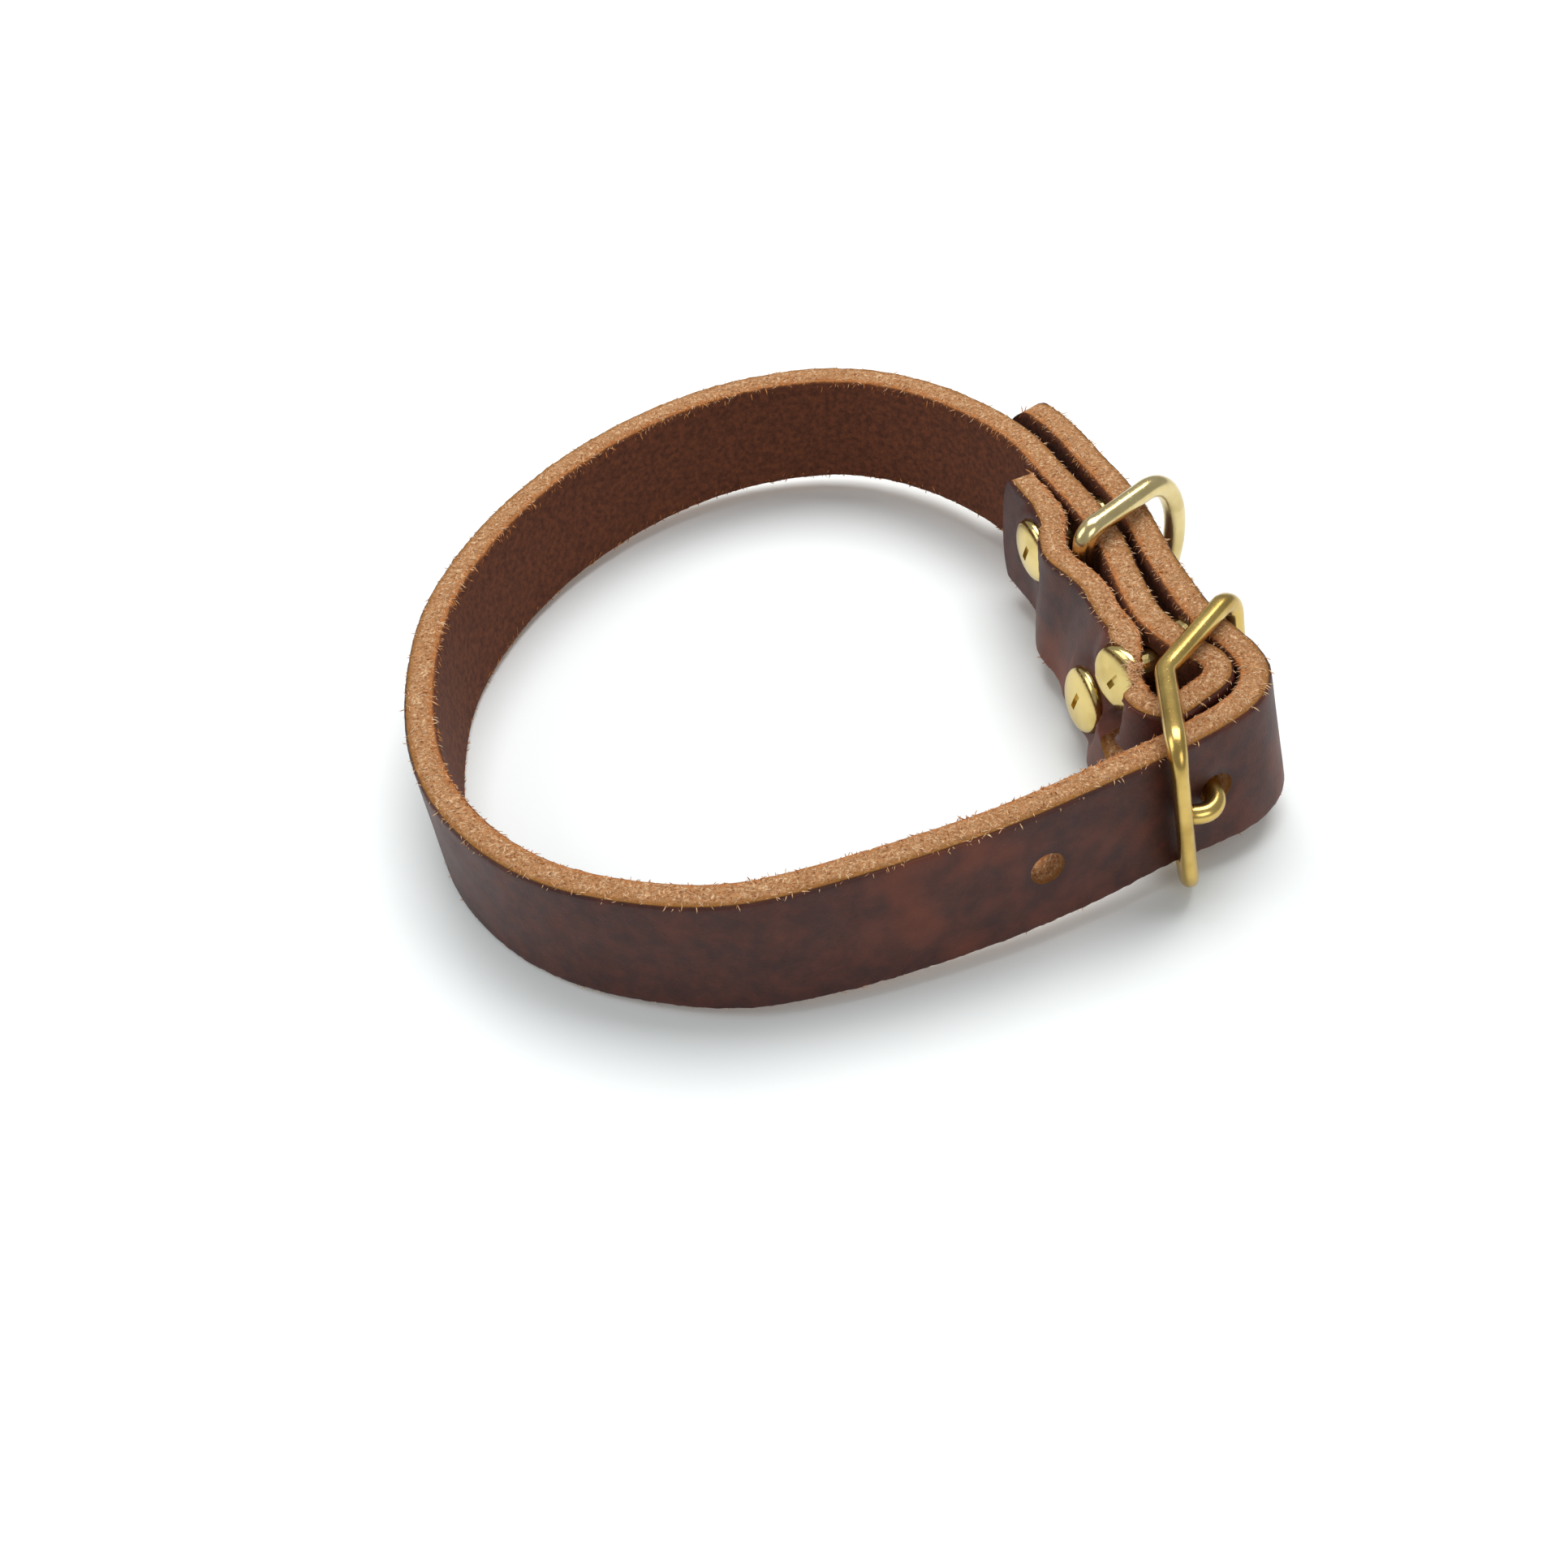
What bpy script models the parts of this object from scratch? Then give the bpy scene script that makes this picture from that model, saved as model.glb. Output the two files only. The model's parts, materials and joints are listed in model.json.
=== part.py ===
"""Dog collar: one leather strap, a solid brass centre bar buckle and a D ring.

The strap is one strip of leather. Its inner end is folded back round the buckle's
centre bar and held by three post screws, with the D ring's straight bar caught in the
fold. Its other end goes once round the neck, under the buckle's front end bar, over
the prong, and back beside itself through the D ring.

The collar is laid out flat side down, +X towards the buckle and +Y away from its
front, and then leaned to where it rests on the buckle, the ring and the far side of
the strap. Lengths are metres.
"""
import math

import bmesh
import bpy
import numpy as np
from mathutils import Matrix, Vector

MM = 0.001

# strap leather
STRAP_WIDTH = 19.05 * MM
STRAP_THICK = 4.3 * MM
LAYER_GAP = 0.4 * MM
LOOP_ACROSS = 111.6 * MM
LOOP_DEPTH = 108.0 * MM
FOLD_END_BULGE = 2.6 * MM
TIP_LENGTH = 6.5 * MM

# holes in the strap
HOLE_DIAMETER = 4.8 * MM
HOLE_SPACING = 25.4 * MM
HOLES_FREE_BEFORE = 1
HOLES_FREE_AFTER = 2
SLOT_WIDTH = 4.6 * MM
SLOT_LENGTH = 20.0 * MM

# buckle
BAR_DIAMETER = 2.6 * MM
SIDE_DIAMETER = 2.8 * MM
END_BAR_WIDTH = 3.5 * MM
END_BAR_THICK = 2.3 * MM
SIDE_CLEARANCE = 1.0 * MM
FRONT_REACH = 16.1 * MM
REAR_REACH = 17.8 * MM
CORNER_RADIUS = 3.4 * MM
BEND_RADIUS = 4.0 * MM
FRONT_HEADING = -98.5
REAR_HEADING = 46.0
BUCKLE_LEAN = 9.0
BUCKLE_FOOT_HEADING = -42.0
BUCKLE_DROP = 0.6 * MM
PRONG_DIAMETER = 2.7 * MM
PRONG_EYE_WALL = 1.2 * MM
PRONG_EYE_HEIGHT = 3.4 * MM
NOTCH_SHARE = 0.56
PRONG_REST_HEIGHT = -0.7 * MM

# D ring
RING_WIRE = 3.2 * MM
RING_CLEARANCE = 1.0 * MM
RING_ARM = 13.0 * MM
RING_BOW = 8.0 * MM
RING_CORNER = 2.2 * MM
RING_HEADING = 36.5

# post screws
HEAD_DIAMETER = 9.5 * MM
HEAD_HEIGHT = 1.6 * MM
HEAD_RIM = 0.5 * MM
DRIVE_SLOT = (3.0 * MM, 0.9 * MM, 0.6 * MM)
POST_DIAMETER = 4.8 * MM
POST_WALL = 0.7 * MM
FLANGE_THICK = 0.9 * MM
SHANK_SHARE = 0.6

# air between pieces that touch
FIT = 0.3 * MM

# mesh fineness
STEP_LENGTH = 5.0 * MM
STEP_TURN = 9.0
WIRE_SIDES = 12
SAMPLE = 0.25 * MM

MID = STRAP_WIDTH / 2
BAR_RADIUS = BAR_DIAMETER / 2
BAR_AT = np.array([0.4165 * LOOP_ACROSS, -0.2565 * LOOP_DEPTH])

# Width rows of the strap, as shares of the width from its middle.
WIDTH_ROWS = (-1.0, -0.8, -0.45, 0.0, 0.45, 0.8, 1.0)

# Middle layer beside the buckle bar: millimetres past the bar and to its outer side.
#   past, aside, lean
STACK_ROWS = (
    (5.6, 5.0, -2.0),
    (9.3, 2.7, -6.0),
    (14.0, 0.8, -7.5),
    (19.0, 0.1, -7.5),
    (24.0, -0.2, -4.0),
    (29.5, -0.5, -1.0),
    (35.5, -1.5, 0.0),
    (41.5, -3.1, 0.0),
    (47.5, -5.0, 0.0),
)

# The loop round the neck, from the stack over the back and left side to the front.
#   across and depth as shares of the loop's half sizes, lean
LOOP_ROWS = (
    (0.695, 0.530, 0.0),
    (0.590, 0.715, 0.0),
    (0.410, 0.898, 0.0),
    (0.242, 0.985, 0.0),
    (0.013, 1.006, 0.0),
    (-0.174, 0.968, 0.0),
    (-0.362, 0.881, 0.0),
    (-0.545, 0.746, 0.0),
    (-0.724, 0.546, 0.0),
    (-0.848, 0.335, 0.0),
    (-0.923, 0.128, 0.0),
    (-0.951, -0.116, 0.0),
    (-0.937, -0.359, 0.0),
    (-0.892, -0.528, 0.5),
    (-0.776, -0.726, 1.2),
    (-0.636, -0.857, 1.5),
    (-0.435, -0.954, 2.0),
    (-0.235, -0.996, 3.5),
    (-0.030, -0.974, 5.5),
    (0.183, -0.928, 6.5),
    (0.404, -0.866, 6.5),
    (0.636, -0.778, 6.5),
    (0.798, -0.711, 6.0),
)

# Fold round the bar: direction from the bar, room past the bar, lean.
#   direction, room in millimetres, lean
WRAP_ROWS = (
    (146.0, 1.9, 7.0),
    (190.0, 0.9, 6.0),
    (229.0, 1.25, 7.0),
    (262.0, 1.0, 9.0),
    (300.0, 0.1, 10.0),
    (343.0, 1.2, 10.0),
    (5.0, 3.0, 8.0),
    (24.0, 3.7, 3.0),
)

# Second turn, over the fold.
#   direction, room in millimetres, lean
TURN_ROWS = (
    (-58.0, 0.35, 9.0),
    (-22.5, 1.8, 11.0),
    (3.0, 3.1, 10.5),
    (29.0, 3.5, 5.5),
)

# Folded-back end: station past the bar and air to the middle layer, both millimetres.
#   past, air, lean
FOLD_BACK_ROWS = (
    (52.5, 0.0, 0.0),
    (46.0, 0.1, 0.0),
    (39.5, 0.6, 0.0),
    (34.5, 2.6, 0.0),
    (29.5, 3.4, 1.0),
    (25.2, 1.9, 3.0),
    (21.0, 0.3, 7.0),
    (16.0, 0.0, 7.5),
    (11.5, 0.1, 7.5),
)

# Tongue end: station past the bar and air to the middle layer, both millimetres.
#   past, air, lean
TONGUE_ROWS = (
    (11.5, 1.5, 1.0),
    (17.0, 1.6, -2.0),
    (23.0, 1.0, -1.0),
    (29.0, 0.6, 0.0),
    (36.0, 1.1, 0.0),
    (43.0, 1.5, 0.0),
    (50.0, 1.6, 0.0),
    (56.5, 1.7, 0.0),
    (63.5, 1.9, 0.0),
    (74.0, 2.1, 0.0),
)

# The prong's rod from the bar through its hole and over the strap to the end bar.
#   along the strap from the hole, out from the strap's middle, both millimetres
PRONG_ROWS = (
    (0.9, -4.6),
    (0.7, -2.2),
    (0.1, 0.2),
    (-0.7, 2.4),
    (-1.6, 3.7),
    (-3.3, 4.5),
)

# Post screws: station past the bar and height, both millimetres.
SCREW_PLACES = (
    (8.4, 13.9),
    (13.7, 5.1),
    (40.4, 12.8),
)

LEATHER = (0.165, 0.047, 0.024, 1.0)
BRASS = (0.78, 0.57, 0.22, 1.0)


def clear_scene():
    """Removes every object of the open scene."""
    for old in list(bpy.data.objects):
        bpy.data.objects.remove(old, do_unlink=True)


def material(name, color, roughness, metallic):
    """A plain Principled material."""
    made = bpy.data.materials.new(name)
    made.use_nodes = True
    made.diffuse_color = color
    shader = made.node_tree.nodes["Principled BSDF"]
    shader.inputs["Base Color"].default_value = color
    shader.inputs["Roughness"].default_value = roughness
    shader.inputs["Metallic"].default_value = metallic
    return made


def new_object(name, mesh_builder, look, cutter=False):
    """Object named name from a bmesh, in the given material."""
    mesh = bpy.data.meshes.new(name)
    bmesh.ops.recalc_face_normals(mesh_builder, faces=mesh_builder.faces)
    mesh_builder.to_mesh(mesh)
    mesh_builder.free()
    made = bpy.data.objects.new(name, mesh)
    bpy.context.scene.collection.objects.link(made)
    if cutter:
        made.hide_render = True
        made.display_type = "WIRE"
    else:
        made.data.materials.append(look)
        made.data.shade_smooth()
        made.data.set_sharp_from_angle(angle=math.radians(35))
    return made


def boolean(target, tool, operation):
    """Adds a Boolean modifier to target."""
    step = target.modifiers.new(operation.lower() + "_" + tool.name, "BOOLEAN")
    step.operation = operation
    step.solver = "EXACT"
    step.object = tool


def heading_vector(degrees):
    """Unit plan vector of a heading, counterclockwise from +X."""
    angle = math.radians(degrees)
    return np.array([math.cos(angle), math.sin(angle)])


def cubic_through(points):
    """Natural cubic through points, sampled every SAMPLE or so along its length."""
    count = len(points)
    gaps = np.linalg.norm(np.diff(points[:, :2], axis=0), axis=1)
    matrix = np.eye(count)
    sides = np.zeros_like(points)
    for i in range(1, count - 1):
        matrix[i, i - 1] = gaps[i - 1]
        matrix[i, i] = 2 * (gaps[i - 1] + gaps[i])
        matrix[i, i + 1] = gaps[i]
        rise = (points[i + 1] - points[i]) / gaps[i]
        fall = (points[i] - points[i - 1]) / gaps[i - 1]
        sides[i] = 6 * (rise - fall)
    bends = np.linalg.solve(matrix, sides)
    pieces = []
    for i in range(count - 1):
        steps = max(2, int(round(gaps[i] / SAMPLE)))
        share = np.linspace(0, 1, steps, endpoint=False)[:, None]
        rest = 1 - share
        line = rest * points[i] + share * points[i + 1]
        sag = (rest ** 3 - rest) * bends[i] + (share ** 3 - share) * bends[i + 1]
        pieces.append(line + sag * gaps[i] ** 2 / 6)
    pieces.append(points[-1:])
    return np.concatenate(pieces)


class Course:
    """The strap's centreline at its top edge: place, heading and lean by length."""

    def __init__(self, rows):
        self.rows = cubic_through(np.array(rows))
        steps = np.linalg.norm(np.diff(self.rows[:, :2], axis=0), axis=1)
        self.length_at = np.concatenate([[0.0], np.cumsum(steps)])
        self.length = self.length_at[-1]
        ahead = np.gradient(self.rows[:, :2], self.length_at, axis=0)
        self.turned = np.unwrap(np.arctan2(ahead[:, 1], ahead[:, 0]))

    def frame(self, length):
        """Place, heading vector, grain side vector and lean at a length."""
        inside = min(max(length, 0.0), self.length)
        place = np.array([np.interp(inside, self.length_at, self.rows[:, i]) for i in (0, 1)])
        lean = math.radians(np.interp(inside, self.length_at, self.rows[:, 2]))
        turned = np.interp(inside, self.length_at, self.turned)
        ahead = np.array([math.cos(turned), math.sin(turned)])
        place = place + ahead * (length - inside)
        return place, ahead, np.array([ahead[1], -ahead[0]]), lean

    def point(self, length, out, height):
        """Space point at a length, a distance to the grain side and a height."""
        place, _, grain, lean = self.frame(length)
        drop = STRAP_WIDTH - height
        spot = place + grain * (out + drop * math.tan(lean))
        return (spot[0], spot[1], height)

    def stations(self, start, end):
        """Lengths between start and end, closer where the strap turns."""
        found = [start]
        while found[-1] < end:
            here = np.interp(found[-1], self.length_at, self.turned)
            reach = found[-1] + STEP_LENGTH
            ahead = np.linspace(found[-1], reach, 21)[1:]
            turns = np.interp(ahead, self.length_at, self.turned)
            over = np.nonzero(np.abs(turns - here) > math.radians(STEP_TURN))[0]
            found.append(ahead[over[0]] if len(over) else reach)
        spare = (found[-1] - end) / (found[-1] - start)
        return [start + (value - start) * (1 - spare) for value in found]

    def nearest(self, place, start, end):
        """Length between start and end whose centreline lies nearest to place."""
        inside = (self.length_at >= start) & (self.length_at <= end)
        away = np.linalg.norm(self.rows[:, :2] - place, axis=1)
        away[~inside] = np.inf
        return self.length_at[int(np.argmin(away))]


def around_bar(direction, layer, room):
    """Centreline place of the strap's first or second layer round the buckle bar."""
    out = BAR_RADIUS + FIT + (layer + 0.5) * STRAP_THICK + layer * LAYER_GAP + room * MM
    return BAR_AT + out * heading_vector(direction)


def middle_rows():
    """Rows of the strap from the stack round the neck to the buckle's front."""
    rows = []
    for past, aside, lean in STACK_ROWS:
        rows.append((BAR_AT[0] + aside * MM, BAR_AT[1] + past * MM, lean))
    for across, depth, lean in LOOP_ROWS:
        rows.append((across * LOOP_ACROSS / 2, depth * LOOP_DEPTH / 2, lean))
    return rows


def beside(line, past, air, lean, side):
    """Row beside the middle layer, one thickness and some air to the given side."""
    length = line.nearest(BAR_AT + np.array([0.0, past * MM]), 0.0, 0.3 * line.length)
    place, _, grain, _ = line.frame(length)
    spot = place + side * grain * (STRAP_THICK + LAYER_GAP + air * MM)
    return (spot[0], spot[1], lean)


def strap_course():
    """The whole strap's centreline, from the folded-back end to the tip."""
    line = Course(middle_rows())
    rows = [beside(line, past, air, lean, -1) for past, air, lean in FOLD_BACK_ROWS]
    for direction, room, lean in WRAP_ROWS:
        place = around_bar(direction, 0, room)
        rows.append((place[0], place[1], lean))
    rows += middle_rows()
    for direction, room, lean in TURN_ROWS:
        place = around_bar(direction, 1, room)
        rows.append((place[0], place[1], lean))
    rows += [beside(line, past, air, lean, 1) for past, air, lean in TONGUE_ROWS]
    return Course(rows)


def end_inset(row, depth):
    """How far a strap's end falls back at a width row: a rounded, pointed outline."""
    return depth * (1 - math.sqrt(max(0.0, 1 - abs(row) ** 2.2)))


def ribbon(course, start, end, middle, width, thick, start_depth, end_depth):
    """Closed strip of leather along the course, with rounded ends."""
    builder = bmesh.new()
    stations = course.stations(start, end)
    zone = 1.5 * max(start_depth, end_depth, STEP_LENGTH)
    grid = []
    for length in stations:
        rows = []
        for row in WIDTH_ROWS:
            near_start = max(0.0, 1 - (length - start) / min(zone, (end - start) / 2))
            near_end = max(0.0, 1 - (end - length) / min(zone, (end - start) / 2))
            moved = length + near_start * end_inset(row, start_depth)
            moved -= near_end * end_inset(row, end_depth)
            height = middle + row * width / 2
            grain = builder.verts.new(course.point(moved, thick / 2, height))
            flesh = builder.verts.new(course.point(moved, -thick / 2, height))
            rows.append((grain, flesh))
        grid.append(rows)
    for one, two in zip(grid, grid[1:]):
        for low, high, low2, high2 in zip(one, one[1:], two, two[1:]):
            builder.faces.new((low[0], low2[0], high2[0], high[0]))
            builder.faces.new((low[1], high[1], high2[1], low2[1]))
        for edge in (0, -1):
            builder.faces.new((one[edge][0], one[edge][1], two[edge][1], two[edge][0]))
    for cap in (grid[0], grid[-1]):
        for low, high in zip(cap, cap[1:]):
            builder.faces.new((low[0], low[1], high[1], high[0]))
    return builder


def punch(course, name, centre, height, length, width):
    """Cutter for a round or long hole punched through one layer of the strap."""
    builder = bmesh.new()
    radius = width / 2
    start, end = centre - length / 2, centre + length / 2
    falls = [radius * (1 - math.cos(math.radians(angle))) for angle in (0, 22.5, 45, 67.5)]
    lengths = [start + fall for fall in falls]
    if length > width:
        lengths += course.stations(start + radius, end - radius)
    else:
        lengths.append(centre)
    lengths += [end - fall for fall in falls[::-1]]
    half = STRAP_THICK / 2 + LAYER_GAP * 0.4
    strips = []
    for at in lengths:
        past_end = max(0.0, start + radius - at, at - end + radius)
        reach = math.sqrt(max(0.0, radius ** 2 - past_end ** 2))
        heights = (height - reach, height + reach) if reach > 0 else (height,)
        strips.append([[builder.verts.new(course.point(at, side, spot)) for spot in heights]
                       for side in (-half, half)])
    for one, two in zip(strips, strips[1:]):
        for side in (0, 1):
            ring = one[side] + two[side][::-1]
            builder.faces.new(ring if side else ring[::-1])
        for row in (0, -1):
            ring = (one[0][row], one[1][row], two[1][row], two[0][row])
            builder.faces.new(ring if row else ring[::-1])
    return new_object(name, builder, None, cutter=True)


def turned(profile, sides):
    """Closed solid of revolution about Z from a profile of radius and height."""
    builder = bmesh.new()
    rings = []
    for radius, height in profile:
        if radius == 0:
            rings.append([builder.verts.new((0, 0, height))])
            continue
        ring = []
        for i in range(sides):
            spot = radius * heading_vector(360 * i / sides)
            ring.append(builder.verts.new((spot[0], spot[1], height)))
        rings.append(ring)
    for one, two in zip(rings, rings[1:]):
        for i in range(sides):
            corners = [one[i % len(one)], one[(i + 1) % len(one)]]
            corners += [two[(i + 1) % len(two)], two[i % len(two)]]
            builder.faces.new(list(dict.fromkeys(corners)))
    return builder


def swept(centres, outs, rises, closed):
    """Closed tube: at each centre an ellipse with half axes outs and rises."""
    builder = bmesh.new()
    rings = []
    for centre, out, rise in zip(centres, outs, rises):
        ring = []
        for i in range(WIRE_SIDES):
            side, up = heading_vector(360 * (i + 0.5) / WIRE_SIDES)
            spot = Vector(centre) + Vector(out) * side + Vector(rise) * up
            ring.append(builder.verts.new(spot))
        rings.append(ring)
    pairs = list(zip(rings, rings[1:]))
    if closed:
        pairs.append((rings[-1], rings[0]))
    for one, two in pairs:
        for i in range(WIRE_SIDES):
            j = (i + 1) % WIRE_SIDES
            builder.faces.new((one[i], one[j], two[j], two[i]))
    if not closed:
        builder.faces.new(rings[0][::-1])
        builder.faces.new(rings[-1])
    return builder


def make_strap(course, look, screws):
    """The strap with its prong slot, buckle holes and screw holes."""
    builder = ribbon(course, 0, course.length, MID, STRAP_WIDTH, STRAP_THICK,
                     FOLD_END_BULGE, TIP_LENGTH)
    strap = new_object("strap", builder, look)
    slot_at = course.nearest(around_bar(275.0, 0, 0.0), 0, 0.3 * course.length)
    cutters = [punch(course, "slot_punch", slot_at, MID, SLOT_LENGTH, SLOT_WIDTH)]
    first = prong_hole(course) - HOLES_FREE_BEFORE * HOLE_SPACING
    for i in range(HOLES_FREE_BEFORE + 1 + HOLES_FREE_AFTER):
        centre = first + i * HOLE_SPACING
        cutters.append(punch(course, "hole_punch_%d" % (i + 1), centre, MID,
                             HOLE_DIAMETER, HOLE_DIAMETER))
    cutters += screws
    for cutter in cutters:
        boolean(strap, cutter, "DIFFERENCE")
    return strap


def prong_hole(course):
    """Length along the strap of the hole that the prong is in."""
    aim = around_bar(-73.5, 1, 0.0)
    return course.nearest(aim, 0.6 * course.length, course.length)


def frame_point(run, height):
    """Buckle frame centreline: place in the bent frame and its face normal."""
    turn = math.radians(REAR_HEADING - (FRONT_HEADING + 180))
    half = BEND_RADIUS * abs(turn) / 2
    middle = math.radians((REAR_HEADING + FRONT_HEADING + 180) / 2)
    steps = np.linspace(0, run, 41)
    bend = middle - turn / 2 * np.clip(steps / half, -1, 1)
    heading = -np.stack([np.cos(bend), np.sin(bend)], axis=1)
    place = np.sum((heading[1:] + heading[:-1]) / 2, axis=0) * (run / 40)
    face = np.array([heading[-1][1], -heading[-1][0]])
    return Vector((place[0], place[1], height)), Vector((face[0], face[1], 0.0)), heading[-1]


def make_buckle(look):
    """The buckle's frame with its centre bar in one cast piece."""
    half = MID + SIDE_CLEARANCE + SIDE_DIAMETER / 2
    outline = []
    straight = half - CORNER_RADIUS
    for share in np.linspace(-1, 1, 7):
        outline.append((FRONT_REACH, share * straight, 0.0, 1.0))
    for angle in np.linspace(15, 90, 6):
        outline.append((FRONT_REACH - CORNER_RADIUS * (1 - math.cos(math.radians(angle))),
                        straight + CORNER_RADIUS * math.sin(math.radians(angle)), angle,
                        1 - angle / 90))
    for run in np.linspace(FRONT_REACH - CORNER_RADIUS, CORNER_RADIUS - REAR_REACH, 15)[1:-1]:
        outline.append((run, half, 90.0, 0.0))
    for angle in np.linspace(90, 165, 6):
        outline.append((-REAR_REACH + CORNER_RADIUS * (1 + math.cos(math.radians(angle))),
                        straight + CORNER_RADIUS * math.sin(math.radians(angle)), angle, 0.0))
    for share in np.linspace(1, 0, 4):
        outline.append((-REAR_REACH, share * straight, 180.0, 0.0))
    outline += [(run, -height, -angle, flat) for run, height, angle, flat in outline[::-1]
                if height > 0 and not (run == FRONT_REACH and angle == 0.0)]
    centres, outs, rises = [], [], []
    for run, height, angle, flat in outline:
        centre, face, heading = frame_point(run, height)
        ahead = Vector((heading[0], heading[1], 0.0))
        out = ahead * math.cos(math.radians(angle)) + Vector((0, 0, math.sin(math.radians(angle))))
        width = SIDE_DIAMETER + (END_BAR_WIDTH - SIDE_DIAMETER) * flat
        thick = SIDE_DIAMETER + (END_BAR_THICK - SIDE_DIAMETER) * flat
        centres.append(centre)
        outs.append(out * width / 2)
        rises.append(face * thick / 2)
    frame = new_object("buckle_frame", swept(centres, outs, rises, True), look)
    bar_half = half + 0.2 * MM
    bar = [(0, -bar_half), (BAR_RADIUS, -bar_half), (BAR_RADIUS, bar_half), (0, bar_half)]
    centre_bar = new_object("centre_bar_tool", turned(bar, WIRE_SIDES), None, cutter=True)
    boolean(frame, centre_bar, "UNION")
    notch_centre, _, heading = frame_point(FRONT_REACH, PRONG_REST_HEIGHT)
    notch = new_object("notch_tool", turned([(0, -3 * MM), (PRONG_DIAMETER * 0.62, -3 * MM),
                                             (PRONG_DIAMETER * 0.62, 3 * MM), (0, 3 * MM)],
                                            WIRE_SIDES), None, cutter=True)
    inner = notch_centre - Vector((heading[0], heading[1], 0.0)) * END_BAR_WIDTH * NOTCH_SHARE
    face = Vector((-heading[1], heading[0], 0.0))
    notch.matrix_local = Matrix.Translation(inner) @ face.to_track_quat("Z", "Y").to_matrix().to_4x4()
    boolean(frame, notch, "DIFFERENCE")
    centre_bar.parent = frame
    notch.parent = frame
    return frame


def prong_path(course, at):
    """Points of the prong's rod, in the frame at, from the bar to the front end bar."""
    tip, _, heading = frame_point(FRONT_REACH, PRONG_REST_HEIGHT)
    tip -= Vector((heading[0], heading[1], 0.0)) * END_BAR_WIDTH * NOTCH_SHARE
    hole = prong_hole(course)
    points = [Vector((0.0, 0.0, 0.0))]
    for along, out in PRONG_ROWS:
        points.append(at.inverted() @ Vector(course.point(hole + along * MM, out * MM, MID)))
    return cubic_through(np.array(points + [tip]))


def make_prong(look, course, at):
    """The prong: an eye round the centre bar and a rod to the front end bar."""
    path = prong_path(course, at)
    clear_bar = np.nonzero(np.linalg.norm(path, axis=1) > BAR_RADIUS)[0][0]
    centres, outs, rises = [], [], []
    picks = np.linspace(clear_bar, len(path) - 1, 20).astype(int)
    for pick in picks:
        near = Vector(path[max(0, pick - 2)])
        far = Vector(path[min(len(path) - 1, pick + 2)])
        out = (far - near).cross(Vector((0, 0, 1))).normalized()
        rise = out.cross(far - near).normalized()
        size = PRONG_DIAMETER / 2
        if pick == picks[-1]:
            size *= 0.55
        centres.append(path[pick])
        outs.append(out * size)
        rises.append(rise * size)
    prong = new_object("buckle_prong", swept(centres, outs, rises, False), look)
    hole = BAR_RADIUS + FIT
    outer = hole + PRONG_EYE_WALL
    eye_half = PRONG_EYE_HEIGHT / 2
    eye = new_object("prong_eye_tool", turned([(0, -eye_half), (outer, -eye_half),
                                               (outer, eye_half), (0, eye_half)],
                                              2 * WIRE_SIDES), None, cutter=True)
    bore = new_object("prong_bore_tool", turned([(0, -4 * MM), (hole, -4 * MM), (hole, 4 * MM),
                                                 (0, 4 * MM)], 2 * WIRE_SIDES), None, cutter=True)
    boolean(prong, eye, "UNION")
    boolean(prong, bore, "DIFFERENCE")
    eye.parent = prong
    bore.parent = prong
    return prong


def make_ring(look):
    """The D ring, its straight bar on the object's Z axis and its bow along +X."""
    half = MID + RING_CLEARANCE + RING_WIRE / 2
    outline = []
    for share in np.linspace(-1, 1, 5):
        outline.append((0.0, share * (half - RING_CORNER), 180.0))
    for angle in np.linspace(165, 90, 6):
        outline.append((RING_CORNER * (1 + math.cos(math.radians(angle))),
                        half - RING_CORNER * (1 - math.sin(math.radians(angle))), angle))
    for run in np.linspace(RING_CORNER, RING_ARM, 4)[1:]:
        outline.append((run, half, 90.0))
    for angle in np.linspace(80, 0, 9):
        outline.append((RING_ARM + RING_BOW * math.cos(math.radians(angle)),
                        half * math.sin(math.radians(angle)), angle))
    outline += [(run, -height, -angle) for run, height, angle in outline[::-1]
                if height > 0 and run > 0]
    centres, outs, rises = [], [], []
    for i, (run, height, _) in enumerate(outline):
        before = outline[i - 1]
        after = outline[(i + 1) % len(outline)]
        along = Vector((after[0] - before[0], 0.0, after[1] - before[1])).normalized()
        centres.append((run, 0.0, height))
        outs.append(Vector((0, 1, 0)).cross(along) * RING_WIRE / 2)
        rises.append(Vector((0.0, RING_WIRE / 2, 0.0)))
    return new_object("d_ring", swept(centres, outs, rises, True), look)


def screw_frame(line, past, height):
    """Matrix of a post screw: Z towards the neck, origin on the middle layer's line."""
    length = line.nearest(BAR_AT + np.array([0.0, past * MM]), 0.0, 0.3 * line.length)
    _, _, grain, lean = line.frame(length)
    spot = Vector(line.point(length, 0.0, height * MM))
    inward = Vector((-grain[0] * math.cos(lean), -grain[1] * math.cos(lean), -math.sin(lean)))
    return Matrix.Translation(spot) @ inward.to_track_quat("Z", "Y").to_matrix().to_4x4()


def screw_air(past):
    """Air between the folded-back end and the middle layer at a station."""
    pasts = [row[0] for row in FOLD_BACK_ROWS][::-1]
    airs = [row[1] for row in FOLD_BACK_ROWS][::-1]
    return LAYER_GAP + np.interp(past, pasts, airs) * MM


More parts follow.
